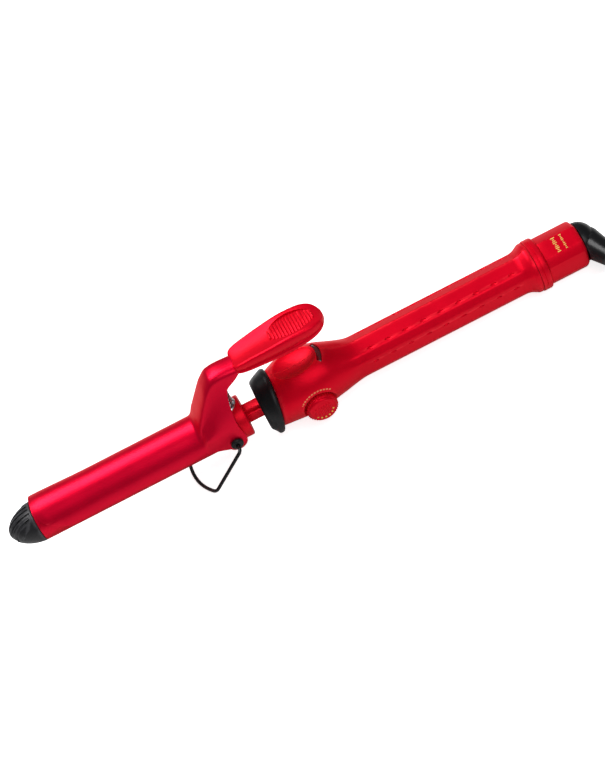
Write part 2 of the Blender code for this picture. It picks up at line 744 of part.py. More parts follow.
def make_rear_ring():
    ring = turned([(RING_START, RING_R), (353.4, RING_R), (RING_END, 15.4), (RING_END, 11),
                   (RING_START, 11)], 40, closed=True)
    # Flat land on the underside, level with the table when the iron rests on its wire bow.
    land = RING_R - LAND_CUT
    half = 14 * math.tan(PITCH)
    middle = (RING_START + RING_END) / 2
    cutter = plate([(middle - 14, -land - half), (middle + 14, -land + half), (middle + 14, -30),
                    (middle - 14, -30)], -20, 20)
    finish("rear_ring", combine(ring, cutter), RED, 0.4)


def make_end_cap():
    rounding = [(CAP_START, 0), (378.0, 0), (379.2, 0.7), (CAP_END, 1.9)]
    body = loft([rounded_octagon(x, END_CAP_R - cut, 0.8) for x, cut in rounding])
    bore = turned([(CAP_START - 1, 0), (CAP_START - 1, 11.4), (376.4, 11.4), (376.4, 8.3),
                   (381, 8.3), (381, 0)], 40)
    finish("end_cap", combine(body, bore), RED, 0.4)


def make_swivel_contacts():
    outline = [(360, 0), (360, 9.5), (370, 9.5), (370, 5), (366, 5), (366, 0)]
    finish("swivel_contacts", turned(outline, 32), CERAMIC, 0.5)


def strain_relief():
    """Taper that leaves the elbow sideways, cut off level with the elbow's face."""
    sections = []
    for along, r in RELIEF:
        x, y = RELIEF_X + along * math.cos(ELBOW_TURN), -along * math.sin(ELBOW_TURN)
        sections.append([
            (x + r * math.sin(t) * math.sin(ELBOW_TURN), y + r * math.sin(t) * math.cos(ELBOW_TURN),
             r * math.cos(t)) for t in turns(28)
        ])
    room = block((ELBOW_FACE, -60, -20), (420, 20, 20))
    return combine(loft(sections), room, "INTERSECT")


def make_elbow():
    """Stem held in the end cap, domed head, and strain relief."""
    outline = [(372.0, 0), (372.0, 9.9), (374.6, 9.9), (375.0, 7.9), (ELBOW_FACE, 7.9),
               (ELBOW_FACE, 12.2), (380.5, 12.5), (382.5, 12.2), (384.5, 11.5), (386.3, 10.3),
               (387.9, 8.8), (389.2, 6.8), (390.1, 4.2), (390.4, 0)]
    body = combine(turned(outline, 36), strain_relief(), "UNION")
    finish("cord_elbow", body, BLACK, 0.45)
    body.parent = SWIVEL


def turns(count):
    return [2 * math.pi * i / count for i in range(count)]


# ---------------------------------------------------------------- setting down


def add_empty(name, place, parent=None):
    empty = bpy.data.objects.new(name, None)
    PARTS.objects.link(empty)
    empty.location = Vector(place) * MM
    empty.parent = parent
    return empty


def keep_in_iron_frame():
    """Hang every piece from the iron's empty, or from its joint's empty, without moving it."""
    for obj in PARTS.objects:
        if obj.type == "MESH":
            if obj.parent is None:
                obj.parent = IRON
            else:
                obj.location = -obj.parent.location


def world_box(objects):
    bpy.context.view_layer.update()
    places = [obj.matrix_world @ v.co for obj in objects for v in obj.data.vertices]
    low = Vector([min(p[i] for p in places) for i in range(3)])
    high = Vector([max(p[i] for p in places) for i in range(3)])
    return low, high


def set_down():
    """Pitch the iron so that wire bow and rear ring touch z = 0, centred over the origin."""
    IRON.rotation_euler = (0, PITCH, 0)
    pieces = [o for o in PARTS.objects if o.type == "MESH" and o.name != "cord_elbow"]
    low, high = world_box(pieces)
    IRON.location = (-(low.x + high.x) / 2, -(low.y + high.y) / 2, -low.z)
    bpy.context.view_layer.update()


# ---------------------------------------------------------------- cord, in world places


def make_cord_lead():
    finish("cord_lead", tube(smooth_line(CORD_ROUTE, 9), CORD_R), BLACK, 0.5)


def make_cord_coil():
    edge = 4.0
    outline = [(COIL_LOW + edge, COIL_OUTER), (COIL_HIGH - edge, COIL_OUTER),
               (COIL_HIGH, COIL_OUTER - edge), (COIL_HIGH, COIL_INNER + edge),
               (COIL_HIGH - edge, COIL_INNER), (COIL_LOW + edge, COIL_INNER),
               (COIL_LOW, COIL_INNER + edge), (COIL_LOW, COIL_OUTER - edge)]
    ring = turned(outline, 40, closed=True, axis="Z", origin=(*COIL_CENTRE, 0))
    finish("cord_coil", ring, BLACK, 0.5)


def make_cord_tie():
    """Flat strap once round the bundle of turns, on the side away from the lead."""
    x, y = COIL_CENTRE
    half = 5.0
    low = y + math.sqrt(COIL_INNER ** 2 - half ** 2) - GAP - TIE_WALL
    high = y + COIL_OUTER + GAP + TIE_WALL
    body = block((x - half, low, 0), (x + half, high, COIL_HIGH + GAP + TIE_WALL))
    room = block((x - 9, low + TIE_WALL, TIE_WALL),
                 (x + 9, high - TIE_WALL, COIL_HIGH + GAP))
    finish("cord_tie", combine(body, room), BLACK, 0.6)


def make_plug():
    """Two-pin plug lying on the coil, with its cord end towards the lead."""
    finish("cord_tail", tube(smooth_line(TAIL_ROUTE, 6), CORD_R), BLACK, 0.5)
    stations = [(0, 4.4, 4.4), (12, 5.6, 5.4), (16, 9.0, 6.6), (20, 11.0, 7.3), (34, 12.0, 7.4),
                (36, 11.2, 6.8)]
    sections = []
    for along, wide, tall in stations:
        ring = []
        for t in turns(28):
            y, z = math.sin(t), math.cos(t)
            soft = 0.55 if along > 14 else 1.0
            ring.append((PLUG_X + wide * math.copysign(abs(y) ** soft, y), PLUG_REAR + along,
                         PLUG_Z + tall * math.copysign(abs(z) ** soft, z)))
        sections.append(ring)
    finish("plug_body", loft(sections), BLACK, 0.45)
    for name, side in (("plug_pin_a", -1), ("plug_pin_b", 1)):
        x = PLUG_X + side * 6.35
        pin = block((x - 0.75, PLUG_REAR + 36.3, PLUG_Z - 3.2),
                    (x + 0.75, PLUG_REAR + 52.0, PLUG_Z + 3.2))
        finish(name, pin, STEEL, 0.25, 1.0)


def main():
    make_tip_cap()
    make_barrel()
    make_heater()
    make_hinge_saddle()
    make_hinge_caps()
    make_clip()
    make_thumb_rest()
    make_thumb_rest_screw()
    make_clip_spring()
    make_wire_stand()
    make_flange()
    make_neck()
    make_guard()
    make_handle_shells()
    make_case_screws()
    make_lens()
    make_electronics()
    make_leads()
    make_dial()
    make_rear_ring()
    make_end_cap()
    make_swivel_contacts()
    make_elbow()
    keep_in_iron_frame()
    set_down()
    make_cord_lead()
    make_cord_coil()
    make_cord_tie()
    make_plug()


clear_scene()
PARTS = collection("curling_iron")
SHAPES = collection("shapes")
IRON = add_empty("iron", (0, 0, 0))
HINGE = add_empty("clip_hinge", (PIVOT_X, 0, PIVOT_Z), IRON)
STAND = add_empty("stand_hinge", (PIVOT_X, 0, PIVOT_Z), IRON)
DIAL = add_empty("dial_turn", (DIAL_X, DIAL_SEAT, DIAL_Z), IRON)
SWIVEL = add_empty("cord_swivel", (SWIVEL_X, 0, 0), IRON)
main()
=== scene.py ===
"""Spring-clip curling iron with a wire rest, a heat dial and a swivel cord, as it lies on a table.

Pieces are drawn in the iron's own frame, in millimetres: x runs from the cool tip to the cord, the
heat dial is on the -y side and +z points to the thumb rest. Each is then set down with the frame.
"""

import json
import math

import bmesh
import bpy
from mathutils import Matrix, Vector


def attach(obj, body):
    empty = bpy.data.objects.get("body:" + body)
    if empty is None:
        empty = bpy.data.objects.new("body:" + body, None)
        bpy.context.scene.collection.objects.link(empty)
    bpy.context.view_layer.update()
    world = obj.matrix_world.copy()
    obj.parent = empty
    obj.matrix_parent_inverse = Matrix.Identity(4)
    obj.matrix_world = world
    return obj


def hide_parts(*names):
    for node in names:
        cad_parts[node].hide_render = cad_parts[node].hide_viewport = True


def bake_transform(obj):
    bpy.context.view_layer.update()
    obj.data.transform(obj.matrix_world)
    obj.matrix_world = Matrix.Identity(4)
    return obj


bl_info = {
    "name": "Curling Iron",
    "version": (1, 0, 0),
    "blender": (4, 5, 0),
    "location": "3D View > Sidebar > Curling Iron",
    "description": "Builds a spring-clip curling iron, piece by piece, around its frame",
    "category": "Add Mesh",
}

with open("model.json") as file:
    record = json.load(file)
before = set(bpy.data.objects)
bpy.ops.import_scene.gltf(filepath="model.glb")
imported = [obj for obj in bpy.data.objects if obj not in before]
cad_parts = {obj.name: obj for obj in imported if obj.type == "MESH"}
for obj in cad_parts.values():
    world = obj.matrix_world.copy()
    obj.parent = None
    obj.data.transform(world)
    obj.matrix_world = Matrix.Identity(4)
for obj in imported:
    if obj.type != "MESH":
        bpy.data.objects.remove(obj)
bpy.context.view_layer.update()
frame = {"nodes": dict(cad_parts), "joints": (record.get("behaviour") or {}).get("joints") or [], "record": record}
JOINTS = {joint["name"]: joint for joint in frame["joints"]}

MM = 0.001
DOUBLES = 0.000002  # points closer than this, in metres, are one point

# Barrel, tip and clip
TIP_LENGTH = 19.3
BARREL_RADIUS = 12.7
FACET_SLOPE = math.degrees(math.atan2(16.5, 16.2))
BARREL_END = 150.6
CLIP_FRONT = 20.6
CLIP_WALL = 1.6
CLIP_GAP = 0.4  # between the blade and the barrel
CLIP_LIFT = 0.8  # how much further the blade's front stands off
ARM_START = 126.0
ARM_END = 166.4
ROOT_ROOF = 33.0  # underside of the arm's solid root, over the spring
PAD_X = 204.6  # middle of the thumb rest's ribbed oval
PAD_FLOOR = 48.9
PAD_SCREW_X = 176.0

# Hinge, spring and wire rest
PIVOT = (145.6, 0.0, -1.8)
SPRING_X = 149.5
SPRING_RADIUS = 4.9
SPRING_LOW = 15.9
REST_ANGLE = math.radians(33)

# Guard and handle
GUARD_TILT = 0.17
SHELL_START = 176.8
SHELL_END = 348.2
GRIP_CORNERS = (0, 45, 67.5, 112.5, 135, 180)  # corners of the grip, in degrees from its top
SCREWS = (("case_screw_front", 233.0), ("case_screw_middle", 286.0), ("case_screw_rear", 334.0))
SCREW_BORE = 1.6
LENS_X = 211.4
DIAL_X = 199.8
DIAL_Z = -4.0
DIAL_FACE = -22.5
DIAL_SEAT = -15.2
RING_X = 351.5
CAP_RADIUS = 14.8

# Cord elbow, cord and plug
ELBOW_TURN = math.radians(72)
ELBOW_FACE = 380.15
RELIEF_X = 383.0
COIL_CENTRE = (276.0, -40.0)
COIL_TURNS = 8.12
PLUG_X = 309.0
PLUG_REAR = -52.0
PLUG_Z = 27.2

# Camera and studio
CAMERA_RISE = math.radians(46.5)
CAMERA_ROLL = math.radians(27.2)
CAMERA_DISTANCE = 0.9725
CAMERA_LENS = 75.5
CAMERA_AIM = (193.7, 3.4)  # along the iron, and below its axis as the camera sees it
LAMPS = (("key", (-0.35, 0.5, 1.3), 0.8, 20.0), ("fill", (0.6, -1.2, 1.5), 1.3, 13.5))
WORLD_LIGHT = 0.14


def iron_place():
    """The matrix from the iron's own frame to the table, read from the frame's joints."""
    axis = JOINTS["cord_swivel"]["axis"]
    turn = Matrix.Rotation(math.atan2(-axis[2], axis[0]), 4, "Y")
    shift = Vector(JOINTS["clip_hinge"]["pos_m"]) - turn @ (Vector(PIVOT) * MM)
    return Matrix.Translation(shift) @ turn


IRON = iron_place()


class IronSizes(bpy.types.PropertyGroup):
    """Sizes that a maker would change."""

    barrel_radius: bpy.props.FloatProperty(
        name="Barrel radius", description="Outer radius of the heated barrel",
        default=BARREL_RADIUS * MM, min=0.006, max=0.025, precision=4, unit="LENGTH")
    guard_radius: bpy.props.FloatProperty(
        name="Guard radius", description="Outer radius of the black heat guard",
        default=0.0199, min=0.015, max=0.03, precision=4, unit="LENGTH")
    grip_radius: bpy.props.FloatProperty(
        name="Grip radius", description="Radius of the faceted grip over its corners",
        default=0.013, min=0.009, max=0.02, precision=4, unit="LENGTH")
    dial_radius: bpy.props.FloatProperty(
        name="Dial radius", description="Radius of the heat dial",
        default=0.0098, min=0.006, max=0.015, precision=4, unit="LENGTH")
    wire_radius: bpy.props.FloatProperty(
        name="Rest wire radius", description="Radius of the wire that the rest is bent from",
        default=0.0011, min=0.0006, max=0.002, precision=4, unit="LENGTH")
    cord_diameter: bpy.props.FloatProperty(
        name="Cord diameter", description="Thickness of the mains cord",
        default=0.006, min=0.004, max=0.009, precision=4, unit="LENGTH")
    cord_length: bpy.props.FloatProperty(
        name="Cord length", description="Whole length of the mains cord",
        default=1.8, min=1.0, max=3.0, unit="LENGTH")


class IronColours(bpy.types.PropertyGroup):
    """Colours that a maker would change."""

    enamel: bpy.props.FloatVectorProperty(
        name="Enamel", description="Crimson of the barrel and clip", subtype="COLOR",
        size=3, min=0, max=1, default=(0.66, 0.001, 0.026))
    red_plastic: bpy.props.FloatVectorProperty(
        name="Red plastic", description="Red of the handle, thumb rest and dial", subtype="COLOR",
        size=3, min=0, max=1, default=(0.74, 0.001, 0.016))
    black_plastic: bpy.props.FloatVectorProperty(
        name="Black plastic", description="Black of the guard, caps and plug", subtype="COLOR",
        size=3, min=0, max=1, default=(0.006, 0.006, 0.007))
    tip_plastic: bpy.props.FloatVectorProperty(
        name="Tip plastic", description="Dark grey of the cool tip", subtype="COLOR",
        size=3, min=0, max=1, default=(0.011, 0.011, 0.013))
    print_ink: bpy.props.FloatVectorProperty(
        name="Print", description="Pale ink of the heat scale", subtype="COLOR",
        size=3, min=0, max=1, default=(0.85, 0.30, 0.14))


def sizes():
    return bpy.context.scene.iron_sizes


def colours():
    return bpy.context.scene.iron_colours


# ------------------------------------------------------------------ modelling steps


def deselect():
    if bpy.context.mode != "OBJECT":
        bpy.ops.object.mode_set(mode="OBJECT")
    bpy.ops.object.select_all(action="DESELECT")


def pick(obj):
    """Make one object the selected and active one."""
    deselect()
    obj.select_set(True)
    bpy.context.view_layer.objects.active = obj


def primitive(kind, name, **settings):
    """Add a mesh primitive, with nothing else selected."""
    deselect()
    getattr(bpy.ops.mesh, "primitive_" + kind + "_add")(**settings)
    obj = bpy.context.object
    obj.name = obj.data.name = name
    return obj


def edit(obj):
    """Open an object in edit mode with all of it selected."""
    pick(obj)
    bpy.ops.object.mode_set(mode="EDIT")
    bpy.ops.mesh.select_all(action="SELECT")


def done():
    bpy.ops.object.mode_set(mode="OBJECT")


def apply_modifier(obj, kind, **settings):
    pick(obj)
    modifier = obj.modifiers.new(kind.title(), kind)
    for name, value in settings.items():
        setattr(modifier, name, value)
    bpy.ops.object.modifier_apply(modifier=modifier.name)
    return obj


def cut(obj, tool, operation="DIFFERENCE"):
    """Cut one shape by another, join them or keep what they share, and drop the tool."""
    apply_modifier(obj, "BOOLEAN", object=tool, operation=operation, solver="EXACT")
    bpy.data.objects.remove(tool)
    return obj


def soften(obj, width, segments=2, angle=35):
    """Round every edge sharper than an angle, by a width in mm."""
    return apply_modifier(obj, "BEVEL", width=width * MM, segments=segments,
                          limit_method="ANGLE", angle_limit=math.radians(angle))


def subdivide(obj, levels=2):
    return apply_modifier(obj, "SUBSURF", levels=levels, render_levels=levels)


def join(parts):
    deselect()
    for part in parts:
        part.select_set(True)
    bpy.context.view_layer.objects.active = parts[0]
    if len(parts) > 1:
        bpy.ops.object.join()
    return parts[0]


def stand(obj, place=(0, 0, 0), turn=(0, 0, 0)):
    """Turn a shape, in degrees, move it, in mm, and apply that to its mesh."""
    pick(obj)
    obj.rotation_euler = [math.radians(a) for a in turn]
    obj.location = Vector(place) * MM
    bpy.ops.object.transform_apply(location=True, rotation=True, scale=True)
    return obj


def copied(obj, name=None):
    twin = obj.copy()
    twin.data = obj.data.copy()
    twin.name = twin.data.name = name or obj.name
    bpy.context.scene.collection.objects.link(twin)
    return twin


def box(name, low, high, rounding=0.0, segments=2):
    """A block between two corners in mm, with its edges rounded."""
    low, high = Vector(low), Vector(high)
    obj = primitive("cube", name, size=1)
    edit(obj)
    bpy.ops.transform.resize(value=(high - low) * MM, center_override=(0, 0, 0))
    bpy.ops.transform.translate(value=(high + low) / 2 * MM)
    if rounding:
        bpy.ops.mesh.bevel(offset=rounding * MM, segments=segments, affect="EDGES")
    done()
    return obj


def drawn(name, stations, count=64, ring=False):
    """Draw a circle out along x through (x, radius) stations, with end caps or back into a ring."""
    (x, radius), *rest = stations
    obj = primitive("circle", name, vertices=count, radius=radius * MM,
                    rotation=(0, math.pi / 2, 0), location=(x * MM, 0, 0))
    bpy.ops.object.transform_apply(location=True, rotation=True, scale=True)
    edit(obj)
    if not ring:
        bpy.ops.mesh.edge_face_add()
        bpy.ops.mesh.select_mode(type="EDGE")
        mesh = bmesh.from_edit_mesh(obj.data)
        for face in mesh.faces:
            face.select = False
        for edge in mesh.edges:
            edge.select = True
    for x_next, radius_next in rest:
        bpy.ops.mesh.extrude_edges_move(
            TRANSFORM_OT_translate={"value": ((x_next - x) * MM, 0, 0)})
        ratio = radius_next / radius
        bpy.ops.transform.resize(value=(1, ratio, ratio), center_override=(x_next * MM, 0, 0))
        x, radius = x_next, radius_next
    if ring:
        bpy.ops.mesh.select_all(action="DESELECT")
        bpy.ops.mesh.select_non_manifold()
        bpy.ops.mesh.bridge_edge_loops()
    else:
        bpy.ops.mesh.edge_face_add()
    tidy_normals()
    done()
    return obj


def across(obj, stations, place, count=32, operation="DIFFERENCE"):
    """Cut, or add, a shape drawn along y through (y, radius) stations."""
    return cut(obj, stand(drawn("tool", stations, count), place, (0, 0, 90)), operation)


def tidy_normals():
    """In edit mode, merge doubles and turn every face outwards."""
    bpy.ops.mesh.select_all(action="SELECT")
    bpy.ops.mesh.remove_doubles(threshold=DOUBLES)
    bpy.ops.mesh.normals_make_consistent(inside=False)


def skin(name, sections):
    """Wrap a grid round sections of equal point count, in mm, and close its two ends."""
    rows, columns = len(sections), len(sections[0])
    obj = primitive("grid", name, x_subdivisions=columns, y_subdivisions=rows - 1, size=2)
    for index, vertex in enumerate(obj.data.vertices):
        row, column = divmod(index, columns + 1)
        vertex.co = Vector(sections[row][column % columns]) * MM
    edit(obj)
    bpy.ops.mesh.remove_doubles(threshold=DOUBLES)
    bpy.ops.mesh.select_mode(type="EDGE")
    bpy.ops.mesh.select_all(action="DESELECT")
    bpy.ops.mesh.select_non_manifold()
    bpy.ops.mesh.fill_holes(sides=0)
    tidy_normals()
    done()
    return obj


def slab(name, outline, y_low, y_high):
    """A flat piece with an (x, z) outline, thick along y."""
    return skin(name, [[(x, y, z) for x, z in outline] for y in (y_low, y_high)])


def wire(name, points, radius, sides=16):
    """A round bar along points in mm."""
    deselect()
    bpy.ops.curve.primitive_nurbs_path_add()
    obj = bpy.context.object
    obj.name = name
    curve = obj.data
    curve.splines.clear()
    spline = curve.splines.new("POLY")
    spline.points.add(len(points) - 1)
    for point, place in zip(spline.points, points):
        point.co = (*(Vector(place) * MM), 1)
    curve.dimensions = "3D"
    curve.bevel_depth = radius * MM
    curve.bevel_resolution = sides // 4 - 1
    curve.use_fill_caps = True
    bpy.ops.object.convert(target="MESH")
    obj = bpy.context.object
    obj.data.name = name
    edit(obj)
    tidy_normals()
    done()
    return obj


def shaped(obj, rule):
    """Move every vertex, in mm, by a rule of its place."""
    for vertex in obj.data.vertices:
        vertex.co = Vector(rule(vertex.co / MM)) * MM
    return obj


def refined(node, name, width=0.0):
    """A welded, smooth copy of a frame node, with softened edges."""
    obj = frame["nodes"][node].copy()
    obj.data = obj.data.copy()
    obj.name = obj.data.name = name
    for key in list(obj.keys()):
        del obj[key]
    obj.parent = None
    obj.matrix_world = Matrix.Identity(4)
    bpy.context.scene.collection.objects.link(obj)
    edit(obj)
    bpy.ops.mesh.remove_doubles(threshold=0.00001)
    bpy.ops.mesh.select_all(action="SELECT")
    bpy.ops.mesh.dissolve_limited(angle_limit=math.radians(2))
    done()
    if width:
        soften(obj, width)
    return obj


def fit(obj, body, slot, material, *nodes, angle=32, placed=False):
    """Set a finished piece down in place, paint it, and hang it on its body."""
    if not placed:
        obj.matrix_world = IRON @ obj.matrix_world
    pick(obj)
    bpy.ops.object.transform_apply(location=True, rotation=True, scale=True)
    bpy.ops.object.shade_smooth_by_angle(angle=math.radians(angle))
    obj.data.materials.clear()
    obj.data.materials.append(material)
    if body:
        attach(obj, body)
    if nodes:
        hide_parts(*nodes)
    return obj


def curve_at(x, table):
    """Smooth reading, by a cubic through the stations, of a size at x."""
    if x <= table[0][0]:
        return table[0][1]
    for i in range(len(table) - 1):
        (x0, a), (x1, b) = table[i], table[i + 1]
        if x <= x1:
            slopes = []
            for j in (i, i + 1):
                if j in (0, len(table) - 1):
                    slopes.append((b - a) / (x1 - x0))
                else:
                    before = (table[j][1] - table[j - 1][1]) / (table[j][0] - table[j - 1][0])
                    after = (table[j + 1][1] - table[j][1]) / (table[j + 1][0] - table[j][0])
                    if before * after <= 0:
                        slopes.append(0.0)
                    else:
                        slopes.append(2 * before * after / (before + after))
            t, h = (x - x0) / (x1 - x0), x1 - x0
            return (a * (1 + 2 * t) * (1 - t) ** 2 + b * t * t * (3 - 2 * t)
                    + h * slopes[0] * t * (1 - t) ** 2 - h * slopes[1] * t * t * (1 - t))
    return table[-1][1]


def ease(value, low, high):
    """0 below low, 1 above high, and a smooth rise between them."""
    t = min(1.0, max(0.0, (value - low) / (high - low)))
    return t * t * (3 - 2 * t)


def arc(cx, cz, radius, start, end, count):
    """Points on an arc between two angles in degrees."""
    angles = [math.radians(start + (end - start) * i / (count - 1)) for i in range(count)]
    return [(cx + radius * math.cos(t), cz + radius * math.sin(t)) for t in angles]


def spread(low, high, count):
    """Evenly spaced values from low to high."""
    return [low + (high - low) * i / (count - 1) for i in range(count)]


def smooth_line(route, spacing):
    """Points about spacing apart on a smooth curve through the route."""
    route = [Vector(p) for p in route]
    ends = [route[0] * 2 - route[1]] + route + [route[-1] * 2 - route[-2]]
    fine = []
    for a, b, c, d in zip(ends, ends[1:], ends[2:], ends[3:]):
        steps = max(2, round((c - b).length / spacing))
        for k in range(steps):
            t = k / steps
            fine.append(0.5 * (2 * b + (c - a) * t + (2 * a - 5 * b + 4 * c - d) * t * t
                               + (3 * b - a - 3 * c + d) * t ** 3))
    return fine + [route[-1]]


# ------------------------------------------------------------------ finishes


def node_group(name, inputs, outputs):
    """A new shader group with (label, kind, value) inputs and (label, kind) outputs."""
    group = bpy.data.node_groups.new(name, "ShaderNodeTree")
    for label, kind, value in inputs:
        socket = group.interface.new_socket(label, in_out="INPUT", socket_type="NodeSocket" + kind)
        if value is not None:
            socket.default_value = value
    for label, kind in outputs:
        group.interface.new_socket(label, in_out="OUTPUT", socket_type="NodeSocket" + kind)
    return group, group.nodes.new("NodeGroupInput"), group.nodes.new("NodeGroupOutput")


def node(tree, kind, links=(), **settings):
    """Add a node, set its fields and socket values, and link (input, socket) pairs."""
    made = tree.nodes.new("ShaderNode" + kind)
    for name, value in settings.items():
        if name in made.inputs:
            made.inputs[name].default_value = value
        else:
            setattr(made, name, value)
    for place, source in links:
        tree.links.new(source, made.inputs[place])
    return made


def maths(tree, operation, *values):
    """A Math node on numbers or sockets; gives its output socket."""
    made = tree.nodes.new("ShaderNodeMath")
    made.operation = operation
    for socket, value in zip(made.inputs, values):
        if isinstance(value, (int, float)):
            socket.default_value = value
        else:
            tree.links.new(value, socket)
    return made.outputs[0]


def grain_group():
    """Fine moulded grain over a slow unevenness of the surface."""
    group, source, result = node_group(
        "moulded_grain",
        [("Vector", "Vector", None), ("Size", "Float", 900.0), ("Slow Size", "Float", 60.0)],
        [("Height", "Float"), ("Fine", "Float"), ("Slow", "Float")])
    fine = node(group, "TexNoise", [("Vector", source.outputs["Vector"]),
                                    ("Scale", source.outputs["Size"])], Detail=3.0)
    pits = node(group, "TexVoronoi", [("Vector", source.outputs["Vector"]),
                                      ("Scale", source.outputs["Size"])])
    slow = node(group, "TexNoise", [("Vector", source.outputs["Vector"]),
                                    ("Scale", source.outputs["Slow Size"])], Detail=4.0)
    height = maths(group, "MULTIPLY_ADD", pits.outputs["Distance"], 0.6, fine.outputs["Fac"])
    group.links.new(height, result.inputs["Height"])
    group.links.new(fine.outputs["Fac"], result.inputs["Fine"])
    group.links.new(slow.outputs["Fac"], result.inputs["Slow"])
    return group


def wear_group():
    """Rubbed edges, broken up by noise."""
    group, source, result = node_group(
        "edge_wear", [("Vector", "Vector", None), ("Reach", "Float", 0.06),
                      ("Size", "Float", 240.0)], [("Mask", "Float")])
    edge = node(group, "NewGeometry")
    noise = node(group, "TexNoise", [("Vector", source.outputs["Vector"]),
                                     ("Scale", source.outputs["Size"])], Detail=5.0)
    sharp = maths(group, "SUBTRACT", edge.outputs["Pointiness"], 0.5)
    sharp = maths(group, "DIVIDE", sharp, source.outputs["Reach"])
    broken = maths(group, "MULTIPLY_ADD", noise.outputs["Fac"], 1.6, -0.45)
    mask = node(group, "Math", operation="MULTIPLY", use_clamp=True)
    group.links.new(sharp, mask.inputs[0])
    group.links.new(broken, mask.inputs[1])
    group.links.new(mask.outputs[0], result.inputs["Mask"])
    return group


def streak_group():
    """Faint hairlines and rubbing along the length of the tool."""
    group, source, result = node_group(
        "hairlines", [("Vector", "Vector", None), ("Along", "Float", 30.0),
                      ("Across", "Float", 2600.0)], [("Lines", "Float"), ("Rub", "Float")])
    scale = node(group, "CombineXYZ", [("X", source.outputs["Along"]),
                                       ("Y", source.outputs["Across"]),
                                       ("Z", source.outputs["Across"])])
    stretched = node(group, "VectorMath", operation="MULTIPLY")
    group.links.new(source.outputs["Vector"], stretched.inputs[0])
    group.links.new(scale.outputs[0], stretched.inputs[1])
    lines = node(group, "TexNoise", [("Vector", stretched.outputs[0])], Scale=1.0, Detail=2.0)
    rub = node(group, "TexNoise", [("Vector", source.outputs["Vector"])], Scale=90.0, Detail=6.0)
    group.links.new(lines.outputs["Fac"], result.inputs["Lines"])
    group.links.new(rub.outputs["Fac"], result.inputs["Rub"])
    return group


def place_group(tree, name, build, **values):
    """Place a shared group, built the first time, with its own values or links."""
    made = tree.nodes.new("ShaderNodeGroup")
    made.node_tree = bpy.data.node_groups.get(name) or build()
    for key, value in values.items():
        socket = made.inputs[key.replace("_", " ")]
        if isinstance(value, (int, float)):
            socket.default_value = value
        else:
            tree.links.new(value, socket)
    return made


def mixed(tree, fac, one, two):
    """Mix two colours, each a colour or a socket, by a value socket."""
    mix = tree.nodes.new("ShaderNodeMix")
    mix.data_type = "RGBA"
    for index, value in ((0, fac), (6, one), (7, two)):
        if hasattr(value, "node"):
            tree.links.new(value, mix.inputs[index])
        else:
            mix.inputs[index].default_value = value if index == 0 else (*value, 1)
    return mix.outputs[2]


def scaled(colour, share):
    return tuple(min(1.0, c * share) for c in colour)


def finish(name, colour, roughness, metallic=0.0, coat=0.0, coat_roughness=0.1, grain=900.0,
           depth=0.05, uneven=0.08, hairlines=0.0, worn=1.5, wear_reach=0.08, shade=0.85,
           specular=0.5, sheen=None, ink=None):
    """A material with grain, slow colour change, uneven gloss, hairlines and rubbed edges."""
    found = bpy.data.materials.get(name)
    if found:
        return found
    material = bpy.data.materials.new(name)
    material.use_nodes = True
    tree = material.node_tree
    shader = tree.nodes["Principled BSDF"]
    shader.inputs["Metallic"].default_value = metallic
    shader.inputs["Coat Weight"].default_value = coat
    shader.inputs["Coat Roughness"].default_value = coat_roughness
    shader.inputs["Specular IOR Level"].default_value = specular
    if sheen:
        shader.inputs["Specular Tint"].default_value = (*sheen, 1)
    place = node(tree, "TexCoord").outputs["Object"]
    surface = place_group(tree, "moulded_grain", grain_group, Vector=place, Size=grain)
    streaks = place_group(tree, "hairlines", streak_group, Vector=place)
    wear = place_group(tree, "edge_wear", wear_group, Vector=place, Reach=wear_reach)
    base = mixed(tree, surface.outputs["Slow"], scaled(colour, shade), scaled(colour, 2 - shade))
    rubbed = scaled([c + 0.01 for c in colour], worn)
    base = mixed(tree, wear.outputs["Mask"], base, rubbed)
    if ink:
        mask, print_colour = ink
        base = mixed(tree, mask(tree, place), base, print_colour)
    tree.links.new(base, shader.inputs["Base Color"])
    gloss = maths(tree, "MULTIPLY_ADD", surface.outputs["Slow"], uneven, roughness - uneven / 2)
    gloss = maths(tree, "MULTIPLY_ADD", streaks.outputs["Rub"], uneven, gloss)
    gloss = maths(tree, "SUBTRACT", gloss, uneven / 2)
    tree.links.new(gloss, shader.inputs["Roughness"])
    height = maths(tree, "MULTIPLY_ADD", streaks.outputs["Lines"], hairlines,
                   surface.outputs["Height"])
    bump = node(tree, "Bump", [("Height", height)], Strength=depth, Distance=0.0003)
    tree.links.new(bump.outputs["Normal"], shader.inputs["Normal"])
    return material


def scale_marks(tree, place):
    """Mask of the heat scale: short marks on an arc over the dial."""
    arc_radius, half_width = 0.01285, 0.00042
    marks_per_radian, mark_share = 6.6, 0.62
    middle, half_span = 1.6, 0.85
    parts = node(tree, "SeparateXYZ", [("Vector", place)]).outputs
    centre = IRON @ (Vector((DIAL_X, DIAL_SEAT, DIAL_Z)) * MM)
    x = maths(tree, "SUBTRACT", parts["X"], centre.x)
    z = maths(tree, "SUBTRACT", parts["Z"], centre.z)
    reach = maths(tree, "SQRT", maths(tree, "ADD", maths(tree, "MULTIPLY", x, x),
                                      maths(tree, "MULTIPLY", z, z)))
    angle = maths(tree, "ARCTAN2", z, x)
    band = maths(tree, "COMPARE", reach, arc_radius, half_width)
    turns = maths(tree, "MULTIPLY", angle, marks_per_radian)
    stripe = maths(tree, "LESS_THAN", maths(tree, "FRACT", turns), mark_share)
    wide = maths(tree, "COMPARE", angle, middle, half_span)
    side = maths(tree, "LESS_THAN", parts["Y"], -0.005)  # the dial's side only
    return maths(tree, "MULTIPLY", maths(tree, "MULTIPLY", band, stripe),
                 maths(tree, "MULTIPLY", wide, side))


RED_SHEEN = (1.0, 0.08, 0.14)  # tint of the gloss on every red piece


